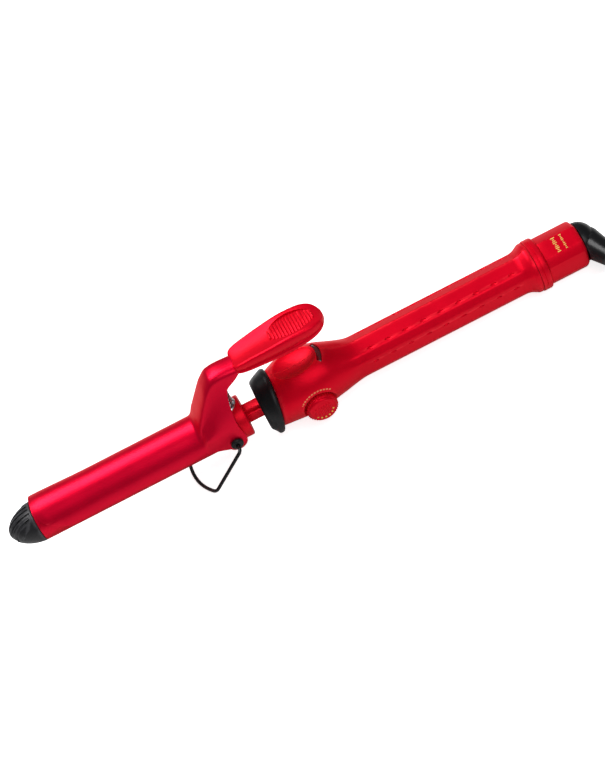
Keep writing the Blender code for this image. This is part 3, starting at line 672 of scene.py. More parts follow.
def enamel():
    return finish("crimson_enamel", colours().enamel[:], 0.38, metallic=0.6, coat=0.05,
                  coat_roughness=0.2, grain=2200.0, depth=0.05, hairlines=0.5, shade=0.9,
                  worn=1.1, specular=0.3, sheen=RED_SHEEN)


def red_plastic(name="red_plastic", ink=None):
    return finish(name, colours().red_plastic[:], 0.34, metallic=0.3, grain=1500.0, depth=0.09,
                  shade=0.92, worn=1.15, specular=0.4, sheen=RED_SHEEN, ink=ink)


def black_plastic():
    return finish("black_satin_plastic", colours().black_plastic[:], 0.36, grain=1300.0,
                  depth=0.12, worn=2.0, shade=0.8, specular=0.2)


def tip_plastic():
    return finish("grey_tip_plastic", colours().tip_plastic[:], 0.42, grain=1100.0, depth=0.16,
                  worn=2.2, shade=0.8, specular=0.25)


def coated_wire():
    return finish("black_wire_coating", (0.005, 0.005, 0.006), 0.28, grain=700.0,
                  depth=0.1, worn=2.0, wear_reach=0.2, specular=0.3)


def steel():
    return finish("bright_steel", (0.62, 0.62, 0.64), 0.24, metallic=1.0, grain=1800.0,
                  depth=0.05, hairlines=0.4, shade=0.9, worn=1.1)


def cord_rubber():
    return finish("cord_jacket", (0.014, 0.014, 0.015), 0.55, grain=1600.0, depth=0.2, worn=2.5,
                  shade=0.8)


def dark_lens():
    return finish("dark_lens", (0.10, 0.0, 0.004), 0.12, coat=0.6, grain=500.0, depth=0.03,
                  worn=1.1, specular=0.7)


def yellow_ink():
    return finish("yellow_ink", (0.9, 0.5, 0.06), 0.5, grain=900.0, depth=0.1)


def gold_ink():
    return finish("gold_ink", (0.9, 0.5, 0.12), 0.4, metallic=0.3, grain=900.0, depth=0.1)


def elbow_rubber():
    return finish("elbow_rubber", (0.006, 0.006, 0.007), 0.3, grain=1300.0, depth=0.12,
                  worn=2.0, shade=0.8, specular=0.25)


def strap():
    return finish("tie_strap", (0.02, 0.02, 0.021), 0.7, grain=2600.0, depth=0.5, worn=2.0)


def pin_metal():
    return finish("nickel_plated_brass", (0.78, 0.74, 0.64), 0.25, metallic=1.0, grain=1500.0,
                  depth=0.04, hairlines=0.6, shade=0.92, worn=1.05)


# ------------------------------------------------------------------ barrel and tip


def tip_radius(x):
    """Radius of the tip's blunt nose at x."""
    return BARREL_RADIUS * (1 - ((TIP_LENGTH - x) / TIP_LENGTH) ** 1.8) ** 0.55


class BuildTip(bpy.types.Operator):
    """Cool tip with a slanted, grooved finger facet"""

    bl_idname = "curling_iron.build_tip"
    bl_label = "Cool tip"

    def execute(self, context):
        spigot = 11.2
        stations = self.nose(0.0) + [(TIP_LENGTH, 12.5), (TIP_LENGTH, spigot)]
        stations += [(TIP_LENGTH + 8, spigot)]
        obj = drawn("cool_tip", stations, 96)
        facet = box("facet", (-20, -20, 0), (20, 20, 20), 2.0, 3)
        recess = stand(facet, (9.6, 0, 3.1), (0, -FACET_SLOPE, 0))
        grooves = join([box("groove", (0.2, y - 0.75, -9), (18.2, y + 0.75, 16), 0.3, 2)
                        for y in (-6.4, -3.2, 0.0, 3.2, 6.4)])
        cut(grooves, copied(recess, "facet_copy"), "INTERSECT")
        cut(grooves, drawn("nose_core", self.nose(1.3), 64))
        cut(recess, drawn("nose_skin", self.nose(0.4), 96))
        cut(obj, recess)
        cut(obj, grooves)
        soften(obj, 0.28, 2, 30)
        fit(obj, "root", "tip_plastic", tip_plastic(), "tip_cap")
        return {"FINISHED"}

    def nose(self, inset):
        """Stations of the rounded nose, close at its point, or of a smaller one inside it."""
        along = [TIP_LENGTH * (i / 34) ** 2.2 for i in range(1, 34)] + [TIP_LENGTH - 0.3]
        return [(inset + x * (1 - inset / TIP_LENGTH), tip_radius(x) * (1 - inset / BARREL_RADIUS))
                for x in along]


class BuildBarrel(bpy.types.Operator):
    """Heated barrel sleeve and the red flange behind it"""

    bl_idname = "curling_iron.build_barrel"
    bl_label = "Barrel"

    def execute(self, context):
        radius = sizes().barrel_radius / MM
        outer = [(TIP_LENGTH + 0.3, radius - 0.3), (TIP_LENGTH + 0.6, radius)]
        outer += [(x, radius) for x in spread(32, 140, 7)]
        outer += [(BARREL_END - 0.3, radius), (BARREL_END, radius - 0.3)]
        inner = [(BARREL_END, radius - 1.2), (TIP_LENGTH + 0.3, radius - 1.2)]
        obj = drawn("barrel_sleeve", outer + inner, 128, ring=True)
        fit(obj, "root", "barrel_enamel", enamel(), "barrel_tube")
        stations = [(144, 11.1), (150.9, 11.1), (150.9, 12.6), (151.3, 13.0), (156.6, 13.0),
                    (157.3, 12.7), (157.6, 12.0), (157.6, 9.4), (157.0, 9.0), (157.0, 7.2),
                    (157.6, 6.9), (157.6, 6.5), (144, 6.5)]
        flange = drawn("barrel_collar", stations, 96, ring=True)
        fit(flange, "root", "handle_plastic", red_plastic(), "barrel_flange")
        return {"FINISHED"}


# ------------------------------------------------------------------ clip


def clip_half(x, inset, bottom):
    """Half of the clip's cross-section at x, from the crown down one side, as (y, z)."""
    count = 30
    lift = CLIP_GAP + CLIP_LIFT * (1 - ease(x, 22, 60))
    radius = BARREL_RADIUS + lift + CLIP_WALL - inset
    wrap = math.radians(97)
    crown = curve_at(x, [(ARM_START, 14.7), (129.5, 18.0), (137, 29.5), (144, 39.8), (149.6, 44.6),
                         (155, 45.4), (ARM_END, 44.7)]) - inset
    ridge = curve_at(x, [(ARM_START, 11.2), (138, 9.0), (150, 7.8), (ARM_END, 7.8)]) - inset
    crease = max(crown - 9.0, 7.5 - inset)
    top = min(8.0, crease - 2)
    cheek_wall = 1.7 if inset else 0
    cheek = curve_at(x, [(ARM_START, 14.7), (138, 16.1), (ARM_END, 16.1)]) - cheek_wall
    arm = []
    for i in range(18):
        t = math.radians(90 * i / 17)
        arm.append((ridge * math.sin(t) ** 0.8, crown - 5.0 * (1 - math.cos(t) ** 0.8)))
    last = arm[-1]
    for i in range(1, 8):
        t = i / 7
        y = ridge + (cheek - ridge) * (t * t * (3 - 2 * t))
        arm.append((y + 0.5 * math.sin(math.pi * t), last[1] + (top - last[1]) * t))
    for z in spread(top - 1.6, -1.8, count + 1 - len(arm)):
        arm.append((cheek, z))
    blend = ease(x, ARM_START, 131.5)
    half = []
    for i, point in enumerate(arm):
        t = wrap * i / count
        y = radius * math.sin(t) * (1 - blend) + point[0] * blend
        z = radius * math.cos(t) * (1 - blend) + point[1] * blend
        clear = max(1.0, radius / math.hypot(y, z))
        half.append((y * clear, z * clear))
    return half + [(half[-1][0], bottom)]


def clip_section(x, inset, bottom, roof=None):
    """Both halves of the clip's cross-section at x, no higher than a roof."""
    half = clip_half(x, inset, bottom)
    if roof is not None:
        half = [(y, min(z, roof)) for y, z in half]
    return [(x, -y, z) for y, z in half[:0:-1]] + [(x, y, z) for y, z in half]


def clip_outline():
    """The clip seen from the side: slanted nose, lobe round the hinge, and open arm."""
    nose = [(38, -1.75), (35.9, -0.2), (31.7, 2.4), (27.6, 5.6), (24.0, 8.5), (21.6, 11.0),
            (CLIP_FRONT, 12.8)]
    nose = [(p.x, p.z) for p in smooth_line([(x, 0, z) for x, z in nose], 1.0)]
    top = [(CLIP_FRONT, 60), (ARM_END, 60), (ARM_END, 40.6)]
    under = [(162.4, 37.6), (158.6, 35.6), (156.0, 34.2), (154.2, 31.2), (152.4, 24.0),
             (151.2, 15.0), (151.2, 9.0), (152.2, 2.4)]
    under = [(p.x, p.z) for p in smooth_line([(x, 0, z) for x, z in under], 1.5)]
    lobe = arc(PIVOT[0] + 0.6, PIVOT[2] + 0.4, 6.3, -6, -150, 25)
    return nose + top + under + lobe + [(136.5, -2.6), (134.0, -1.78)]


class BuildClip(bpy.types.Operator):
    """Clip: curved blade over the barrel and the arm with its two cheeks"""

    bl_idname = "curling_iron.build_clip"
    bl_label = "Clip"

    def execute(self, context):
        blade = spread(CLIP_FRONT - 1, 120, 14)
        arm = spread(ARM_START, 152, 36) + spread(154, ARM_END + 1, 6)
        stations = blade + arm
        outer = skin("clip_arm", [clip_section(x, 0, -9 if x > 130 else -1.79) for x in stations])
        hollow = [stations[0] - 3] + [x for x in stations[1:] if x < 153] + [170]
        sections = [clip_section(x, CLIP_WALL, -14, ROOT_ROOF) for x in hollow]
        cut(outer, skin("hollow", sections))
        cut(outer, slab("profile", clip_outline(), -20, 20), "INTERSECT")
        across(outer, [(-20, 2.75), (20, 2.75)], PIVOT, 48)
        soften(outer, 0.3, 2, 40)
        fit(outer, "clip", "barrel_enamel", enamel(), "clip_blade")
        return {"FINISHED"}


# ------------------------------------------------------------------ thumb rest


def pad_section(x):
    """Cross-section of the thumb rest: ledge below, waist, and dished top."""
    half = curve_at(x, [(164.4, 5.6), (165.0, 7.4), (166.4, 8.7), (170, 9.5), (178, 10.4),
                        (190, 11.6), (202, 12.2),
                        (212, 11.9), (218, 10.4), (222, 7.2), (224.3, 2.2)])
    top = curve_at(x, [(164.4, 44.0), (165.0, 45.2), (166.4, 46.2), (171, 47.4), (180, 48.6),
                       (192, 49.9), (202, 50.8),
                       (212, 50.6), (219, 49.4), (222.6, 47.6), (224.3, 46.0)])
    low = curve_at(x, [(164.4, 41.2), (165.4, 40.4), (168, 39.9), (175, 39.6), (190, 39.8),
                       (209, 40.6), (217, 41.6),
                       (222, 43.0), (224.3, 44.2)])
    tall = top - low
    ledge = 0.05 * (1 - ease(x, 205, 217))
    side = [(half * 0.86, low), (half * (1 + ledge), low + 0.06 * tall),
            (half * (1 + ledge), low + 0.30 * tall), (half * 0.955, low + 0.38 * tall),
            (half * 0.955, low + 0.42 * tall), (half, low + 0.52 * tall),
            (half, low + 0.84 * tall), (half * 0.95, low + 0.96 * tall), (half * 0.84, top)]
    dish = (0.18 - 0.09 * ease(x, 186, 198)) * tall
    side += [(half * 0.7, top - 0.3 * dish), (half * 0.4, top - 0.75 * dish), (0, top - dish)]
    left = [(x, -y, z) for y, z in reversed(side[:-1])]
    return [(x, y, z) for y, z in side] + left + [(x, 0, low)]


class BuildThumbRest(bpy.types.Operator):
    """Paddle of the clip's thumb rest, with a ribbed oval, and its screw"""

    bl_idname = "curling_iron.build_thumb_rest"
    bl_label = "Thumb rest"

    def execute(self, context):
        stations = [164.4, 165.0, 166.4, *range(170, 211, 5), 214, 217.5, 220, 222, 223.4, 224.3]
        pad = skin("thumb_paddle", [pad_section(x) for x in stations])
        subdivide(pad, 3)
        long_, wide = 15.2, 8.3
        oval = stand(drawn("oval", [(0, 1), (4, 1.04)], 72), (0, 0, 0), (0, -90, 0))
        shaped(oval, lambda p: (PAD_X + p.x * long_, p.y * wide, PAD_FLOOR + p.z))
        cut(pad, oval)
        ribs = []
        for x in spread(PAD_X - 13.6, PAD_X + 13.6, 15):
            half = wide * math.sqrt(1 - ((x - PAD_X) / long_) ** 2) - 0.35
            ribs.append(box("rib", (x - 0.55, -half, PAD_FLOOR - 0.6),
                            (x + 0.55, half, PAD_FLOOR + 0.75), 0.35, 2))
        cut(pad, join(ribs), "UNION")
        hole = stand(drawn("hole", [(36, 3.2), (41.4, 3.2), (41.4, 1.7), (46, 1.7)], 32),
                     (PAD_SCREW_X, 0, 0), (0, -90, 0))
        cut(pad, hole)
        soften(pad, 0.2, 2, 40)
        fit(pad, "clip", "handle_plastic", red_plastic(), "thumb_rest")
        screw = refined("thumb_rest_screw", "paddle_screw", 0.12)
        fit(screw, "clip", "steel", steel(), "thumb_rest_screw", placed=True)
        return {"FINISHED"}


# ------------------------------------------------------------------ hinge, spring and wire rest


class BuildHinge(bpy.types.Operator):
    """Hinge saddle, its two domed caps, and the spring under the clip's arm"""

    bl_idname = "curling_iron.build_hinge"
    bl_label = "Hinge and spring"

    def execute(self, context):
        saddle = refined("hinge_saddle", "hinge_collar", 0.12)
        fit(saddle, "root", "steel", steel(), "hinge_saddle", placed=True)
        for side, name, node_name in ((1, "left_hinge_dome", "hinge_cap_left"),
                                      (-1, "right_hinge_dome", "hinge_cap_right")):
            stations = [(16.6, 1.45), (16.6, 3.7), (16.8, 3.9), (17.3, 3.9), (17.8, 3.65),
                        (18.2, 3.2), (18.5, 2.5), (18.6, 1.9), (18.6, 1.45)]
            dome = drawn(name, stations, 48, ring=True)
            stand(dome, PIVOT, (0, 0, 90 * side))
            fit(dome, "root", "black_plastic", black_plastic(), node_name)
        self.build_spring()
        return {"FINISHED"}

    def build_spring(self):
        """Coil spring that stretches between the hinge saddle and the arm's root."""
        points, turns, per_turn = [], 8.0, 28
        for i in range(int(turns * per_turn) + 1):
            t = i / per_turn
            rise = curve_at(t, [(0, 0), (1, 1.2), (turns - 1, 14.9), (turns, 16.1)])
            angle = 2 * math.pi * t
            points.append((SPRING_X + SPRING_RADIUS * math.cos(angle),
                           SPRING_RADIUS * math.sin(angle), SPRING_LOW + rise))
        spring = wire("clip_coil_spring", points, 0.6, 12)
        fit(spring, None, "steel", steel(), "clip_spring", angle=60)
        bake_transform(spring)


class BuildWireRest(bpy.types.Operator):
    """Wire rest: one bent wire between the hinge caps"""

    bl_idname = "curling_iron.build_wire_rest"
    bl_label = "Wire rest"

    def execute(self, context):
        def at(along, y):
            return (PIVOT[0] - along * math.cos(REST_ANGLE), y,
                    PIVOT[2] - along * math.sin(REST_ANGLE))

        half = [at(0, 15.2), at(0, 18.5), at(0, 20.8), at(0.5, 22.4), at(1.5, 23.3), at(3.0, 23.7),
                at(12, 25.6), at(20, 27.3), at(25.2, 28.4), at(27.2, 28.7), at(28.9, 28.0)]
        half += [at(39.5 - 9.3 * (y / 26.6) ** 2, y) for y in spread(26.6, 0, 11)]
        route = half + [(x, -y, z) for x, y, z in reversed(half[:-1])]
        rest = wire("wire_rest_bow", smooth_line(route, 0.8), sizes().wire_radius / MM, 20)
        fit(rest, "stand", "black_wire", coated_wire(), "wire_stand", angle=60)
        return {"FINISHED"}


# ------------------------------------------------------------------ neck and guard


class BuildGuard(bpy.types.Operator):
    """Plus-shaped neck and the leaning heat guard"""

    bl_idname = "curling_iron.build_guard"
    bl_label = "Neck and guard"

    def execute(self, context):
        neck = refined("neck_spine", "ribbed_neck", 0.45)
        fit(neck, "root", "handle_plastic", red_plastic(), "neck_spine", placed=True)
        radius = sizes().guard_radius / MM
        stations = [(167.4, 14.2), (167.4, 14.8), (167.7, 15.5), (168.4, 16.3), (170.6, 17.9),
                    (173.0, radius - 0.4), (173.6, radius - 0.05), (174.0, radius),
                    (175.0, radius), (175.6, radius - 0.2), (176.1, radius - 0.7),
                    (176.3, radius - 1.2), (176.3, 16.9), (176.0, 16.6), (170.6, 14.0),
                    (169.8, 13.0), (169.8, 6.5), (167.4, 6.5), (167.4, 10.4), (167.8, 10.8),
                    (167.8, 13.6)]
        guard = drawn("heat_guard_flare", stations, 128, ring=True)
        shaped(guard, lambda p: (
            p.x + GUARD_TILT * p.z * min(1, max(0, (p.x - 169) / 4)), p.y, p.z))
        fit(guard, "root", "black_plastic", black_plastic(), "heat_guard", angle=40)
        return {"FINISHED"}


# ------------------------------------------------------------------ handle


def flat_share(angle):
    """How far in a flat of the grip lies, as a share of the radius over its corners."""
    turned = math.degrees(abs((angle + math.pi) % (2 * math.pi) - math.pi))
    for low, high in zip(GRIP_CORNERS, GRIP_CORNERS[1:]):
        if turned <= high:
            half, middle = math.radians(high - low) / 2, math.radians(high + low) / 2
            return min(1.0, 1.003 * math.cos(half) / math.cos(math.radians(turned) - middle))


def handle_section(x, inset=0.0, count=96):
    """Handle cross-section: a round bulb that turns into a grip with ten flats."""
    grip = sizes().grip_radius / MM
    radius = curve_at(x, [(SHELL_START, 17.2), (180, 18.1), (185, 19.1), (190, 19.8), (197, 20.1),
                          (204, 19.6), (210, 18.5), (215, 17.2), (220, 15.7), (225, 14.3),
                          (229, 13.4), (232, grip), (338, grip), (341, 13.4), (344, 14.8),
                          (346.4, 15.9), (SHELL_END, 15.9)])
    lift = curve_at(x, [(SHELL_START, 0.8), (184, 2.2), (190, 2.6), (210, 2.6), (220, 1.2),
                        (232, 0.0), (SHELL_END, 0.0)])
    facet = ease(x, 222, 234) - 0.7 * ease(x, 338, 347)
    points = []
    for i in range(count):
        t = 2 * math.pi * i / count
        r = radius * (1 + (flat_share(t) - 1) * facet) - inset
        lean = GUARD_TILT * (r * math.cos(t) + lift) * (1 - ease(x, SHELL_START, 200))
        points.append((x + lean, r * math.sin(t), r * math.cos(t) + lift))
    return points


def lens_block(grow, low, high):
    """Upright crescent of the lamp's window, wider all round by grow."""
    centre, lean = LENS_X - 14.6, 3 * grow
    outline = arc(centre, 0, 16.6 + grow, -29 - lean, 29 + lean, 21)
    outline += arc(centre, 0, 14.2 - grow, 27 + lean, -27 - lean, 21)
    return skin("lens_block", [[(x, y, z) for x, y in outline] for z in (low, high)])


def ball(name, centre, half, segments=64):
    """A sphere drawn out to half sizes in mm about a centre."""
    obj = primitive("uv_sphere", name, segments=segments, ring_count=segments // 2, radius=1)
    return shaped(obj, lambda p: [c + h * v * MM for c, h, v in zip(centre, half, p)])


def grip_dimples():
    """Two rows of small oval dimples on each side of the grip."""
    first, pitch, out = 240.5, 11.6, 12.55
    seed = primitive("ico_sphere", "dimple", subdivisions=3, radius=1)
    made = []
    for angle in (38, 80, -38, -80):
        t = math.radians(angle)
        for i in range(9):
            twin = copied(seed)
            centre = (first + pitch * i, out * math.sin(t), out * math.cos(t))
            shaped(twin, lambda p: [c + h * v * MM for c, h, v in
                                    zip(centre, (2.1, 0.95, 0.75), p)])
            made.append(twin)
    bpy.data.objects.remove(seed)
    return join(made)


def handle_room():
    """Hollow of the handle, kept below the scoop and behind the dial's seat."""
    stations = [168] + spread(180, 346, 40) + [352]
    room = skin("room", [handle_section(x, 2.0, 64) for x in stations])
    return shaped(room, lambda p: (
        p.x,
        max(p.y, -13.0) if 184 < p.x < 217 else p.y,
        min(p.z, 14.0) if 174 < p.x < 220 else p.z))


class BuildHandle(bpy.types.Operator):
    """Two handle shells with the scoop, dial pocket, dimpled grip and screws"""

    bl_idname = "curling_iron.build_handle"
    bl_label = "Handle"

    def execute(self, context):
        stations = spread(SHELL_START, 232, 33) + spread(235, 338, 9) + spread(339, SHELL_END, 12)
        body = skin("handle", [handle_section(x) for x in stations])
        cut(body, ball("scoop", (195.0, 0, 24.4), (18.5, 14.0, 7.0), 96))
        pocket = [(-30, 11.9), (-19.5, 11.3), (-19.2, 11.0), (DIAL_SEAT, 10.6)]
        across(body, pocket, (DIAL_X, 0, DIAL_Z), 96)
        across(body, [(-20, 3), (-8, 3)], (DIAL_X, 0, DIAL_Z))
        cut(body, lens_block(0.3, 12, 30))
        cut(body, grip_dimples())
        cut(body, handle_room())
        for side, name, node_name in ((1, "handle_half_left", "handle_shell_left"),
                                      (-1, "handle_half_right", "handle_shell_right")):
            half = copied(body, name)
            edit(half)
            bpy.ops.mesh.bisect(plane_co=(0, side * 0.12 * MM, 0), plane_no=(0, side, 0),
                                use_fill=True, clear_inner=True)
            done()
            for _, x in SCREWS:
                self.screw_place(half, x, side)
            soften(half, 0.22, 2, 38)
            paint = red_plastic()
            if side < 0:
                paint = red_plastic("printed_red_plastic", (scale_marks, colours().print_ink[:]))
            fit(half, "root", "handle_plastic", paint, node_name)
        bpy.data.objects.remove(body)
        for node_name, _ in SCREWS:
            screw = refined(node_name, node_name.replace("case", "shell"), 0.1)
            fit(screw, "root", "steel", steel(), node_name, placed=True)
        lens = refined("indicator_lens", "lamp_window", 0.15)
        fit(lens, "root", "lens", dark_lens(), "indicator_lens", placed=True)
        return {"FINISHED"}

    def screw_place(self, half, x, side):
        """Boss inside a shell, with a headed well on the left and a plain bore on the right."""
        boss = 3.6 if side > 0 else 3.0
        across(half, [(0.45 * side, boss), (11.3 * side, boss)], (x, 0, 0), operation="UNION")
        well = [(-2, SCREW_BORE), (8.2, SCREW_BORE), (8.2, 2.7), (14, 2.7)]
        bore = [(-8.5, SCREW_BORE), (2, SCREW_BORE)]
        across(half, well if side > 0 else bore, (x, 0, 0))


class BuildDial(bpy.types.Operator):
    """Heat dial with a fluted rim, raised ribs and heat dots on its face"""

    bl_idname = "curling_iron.build_dial"
    bl_label = "Heat dial"

    def execute(self, context):
        radius = sizes().dial_radius / MM
        face = DIAL_FACE
        stations = [(face, 7.4), (face + 0.12, 7.9), (face + 0.5, 8.4), (face + 1.0, 8.7),
                    (face + 1.5, 8.8), (face + 1.8, 9.1), (face + 2.2, 9.25),
                    (DIAL_SEAT - 0.9, 9.25), (DIAL_SEAT - 0.4, 8.9), (DIAL_SEAT - 0.4, 2.6),
                    (-9.8, 2.6)]
        dial = drawn("heat_dial", stations, 96)
        flutes = []
        for i in range(36):
            flute = box("flute", (face + 1.7, -0.42, 8.8), (DIAL_SEAT - 0.7, 0.42, radius), 0.3, 2)
            flutes.append(stand(flute, (0, 0, 0), (i * 10, 0, 0)))
        cut(dial, join(flutes), "UNION")
        ribs = [box("rib", (face - 0.35, z - 0.42, -3.4), (face + 0.6, z + 0.42, 3.4), 0.3, 2)
                for z in spread(-4.6, 4.6, 6)]
        cut(dial, join(ribs), "UNION")
        stand(dial, (DIAL_X, 0, DIAL_Z), (0, 0, 90))
        soften(dial, 0.12, 2, 45)
        fit(dial, "dial", "handle_plastic", red_plastic(), "temperature_dial")
        dots = []
        for angle in (200, 225, 250, 275, 300, 325):
            t = math.radians(angle)
            dot = drawn("dot", [(face - 0.05, 0.55), (face + 0.1, 0.62), (face + 0.5, 0.62)], 20)
            dots.append(stand(dot, (0, 5.9 * math.cos(t), 5.9 * math.sin(t))))
        dots = stand(join(dots), (DIAL_X, 0, DIAL_Z), (0, 0, 90))
        dots.name = dots.data.name = "dial_dots"
        fit(dots, "dial", "handle_plastic", yellow_ink())
        return {"FINISHED"}


# ------------------------------------------------------------------ rear end


def cap_section(x, radius, count=96):
    """End cap's cross-section, with the grip's flats a little rounded."""
    facet = 0.8
    points = []
    for i in range(count):
        t = 2 * math.pi * i / count
        r = radius * (1 + (flat_share(t) - 1) * facet)
        points.append((x, r * math.sin(t), r * math.cos(t)))
    return points


class BuildRearEnd(bpy.types.Operator):
    """Rear ring with its groove and flat land, and the end cap"""

    bl_idname = "curling_iron.build_rear_end"
    bl_label = "Ring and end cap"

    def execute(self, context):
        stations = [(348.5, 11), (348.5, 16.0), (348.8, 16.3), (350.4, 16.3), (350.6, 16.0),
                    (351.0, 16.0), (351.2, 16.3), (353.4, 16.3), (354.2, 15.9), (354.5, 15.3),
                    (354.5, 11)]
        ring = drawn("grip_ring", stations, 128, ring=True)
        axis = JOINTS["cord_swivel"]["axis"]
        lean = math.degrees(math.atan2(-axis[2], axis[0]))
        land = box("land", (-14, -20, -14), (14, 20, 0))
        cut(ring, stand(land, (RING_X, 0, -15.95), (0, -lean, 0)))
        fit(ring, "root", "handle_plastic", red_plastic(), "rear_ring")
        rounding = [(354.8, 0.5), (355.1, 0.1), (355.6, 0)] + [(x, 0) for x in spread(360, 376, 5)]
        rounding += [(377.6, 0.05), (378.6, 0.35), (379.3, 0.95), (379.7, 1.7), (379.8, 2.4)]
        cap = skin("end_cap_shell", [cap_section(x, CAP_RADIUS - inset) for x, inset in rounding])
        bore = drawn("bore", [(353.8, 11.4), (376.4, 11.4), (376.4, 8.3), (381, 8.3)], 64)
        cut(cap, bore)
        fit(cap, "root", "handle_plastic", red_plastic(), "end_cap", angle=20)
        bars = []
        for x, tall in ((364.6, 1.0), (369.4, 0.6)):
            for k, y in enumerate(spread(-4.6, 4.6, 9)):
                half = tall * (1.0, 0.6, 1.25)[k % 3]
                bar = box("bar", (-half, -0.3, -0.3), (half, 0.3, 0.05), 0.04, 1)
                bars.append(stand(bar, (x, y, 0)))
        bars = stand(stand(join(bars), (0, 0, 13.9)), turn=(22.5, 0, 0))
        bars.name = bars.data.name = "cap_gold_bars"
        fit(bars, "root", "handle_plastic", gold_ink())
        return {"FINISHED"}


# ------------------------------------------------------------------ cord


def circle_at(centre, radius, lean, count=64):
    """A circle of points whose axis lies in the x-y plane, turned by lean from x towards -y."""
    x, y, z = centre
    ring = []
    for k in range(count):
        t = 2 * math.pi * k / count
        across = radius * math.sin(t)
        ring.append((x + across * math.sin(lean), y + across * math.cos(lean),
                     z + radius * math.cos(t)))
    return ring


class BuildElbow(bpy.types.Operator):
    """Swivelling cord elbow with a domed head and a ribbed, tapered strain relief"""

    bl_idname = "curling_iron.build_elbow"
    bl_label = "Cord elbow"

    def execute(self, context):
        head = [(372.0, 9.9), (374.6, 9.9), (375.0, 7.9), (ELBOW_FACE, 7.9), (ELBOW_FACE, 12.0),
                (380.4, 12.45)]
        head += [(x, curve_at(x, [(380.4, 12.5), (382.5, 12.2), (384.5, 11.5), (386.3, 10.3),
                                  (387.9, 8.8), (389.2, 6.8), (390.1, 4.0), (390.4, 0.4)]))
                 for x in spread(381.4, 387.4, 7) + [388.2, 389.0, 389.6, 390.0, 390.3, 390.4]]
        elbow = drawn("swivel_elbow", head, 96)
        groove, pitch = 0.9, 3.4
        sections = []
        for along in spread(-6, -1, 9) + spread(0, 17, 12) + spread(17.6, 38.4, 53) + [39.4, 40]:
            r = curve_at(along, [(-6, 3.0), (-5, 5.6), (-3, 7.8), (-1, 8.75), (2, 9.1), (6, 8.6),
                                 (12, 7.8), (18, 7.0), (26, 6.0), (33, 5.2), (40, 4.5)])
            if 22.3 < along < 39:
                r -= groove * ease(math.sin(2 * math.pi * along / pitch), 0.1, 0.6)
            x = RELIEF_X + along * math.cos(ELBOW_TURN)
            y = -along * math.sin(ELBOW_TURN)
            sections.append(circle_at((x, y, 0), r, ELBOW_TURN))
        relief = skin("relief", sections)
        cut(relief, box("room", (ELBOW_FACE, -60, -20), (420, 20, 20)), "INTERSECT")
        cut(elbow, relief, "UNION")
        soften(elbow, 0.35, 3, 25)
        fit(elbow, "swivel", "cord_rubber", elbow_rubber(), "cord_elbow", angle=40)
        return {"FINISHED"}


def coil_points():
    """Three layers of turns, each beside or on the one before; the first is wound inwards."""
    radii = [(0, 40), (0.75, 40), (1.0, 34), (1.75, 34), (2.0, 28), (3.5, 28), (3.75, 34),
             (4.5, 34), (4.75, 40), (6.25, 40), (6.5, 34), (7.05, 34), (7.3, 28), (7.86, 28),
             (COIL_TURNS, 36.5)]
    heights = [(0, 4.2), (2.67, 4.2), (2.83, 10.2), (5.33, 10.2), (5.5, 16.2), (7.8, 16.2),
               (8.0, 20.6), (COIL_TURNS, 22.6)]
    points, per_turn = [], 48
    for i in range(1, round(COIL_TURNS * per_turn) + 1):
        turn = i / per_turn
        angle = 2 * math.pi * turn - math.pi / 2
        r = curve_at(turn, radii)
        points.append((COIL_CENTRE[0] + r * math.cos(angle), COIL_CENTRE[1] + r * math.sin(angle),
                       curve_at(turn, heights)))
    return points


def cord_points():
    """The cord's whole route: elbow to coil, the coil's turns, and the tail up to the plug."""
    start = [(204.9, -38.61, 14.38), (207.9, -48.0, 14.1), (212.6, -57.6, 12.4),
             (219.6, -66.4, 9.6), (228.6, -73.4, 6.6), (238.6, -78.0, 4.7), (252.0, -80.2, 4.2)]
    lead = smooth_line(start + [(276.0, -80.0, 4.2)], 2.5)
    tail = smooth_line([(304.8, -61.6, 24.8), (307.4, -57.6, 26.2), (308.7, -54.4, 27.0),
                        (PLUG_X, PLUG_REAR + 0.2, PLUG_Z)], 1.5)
    return [Vector(p) for p in lead + coil_points() + tail]


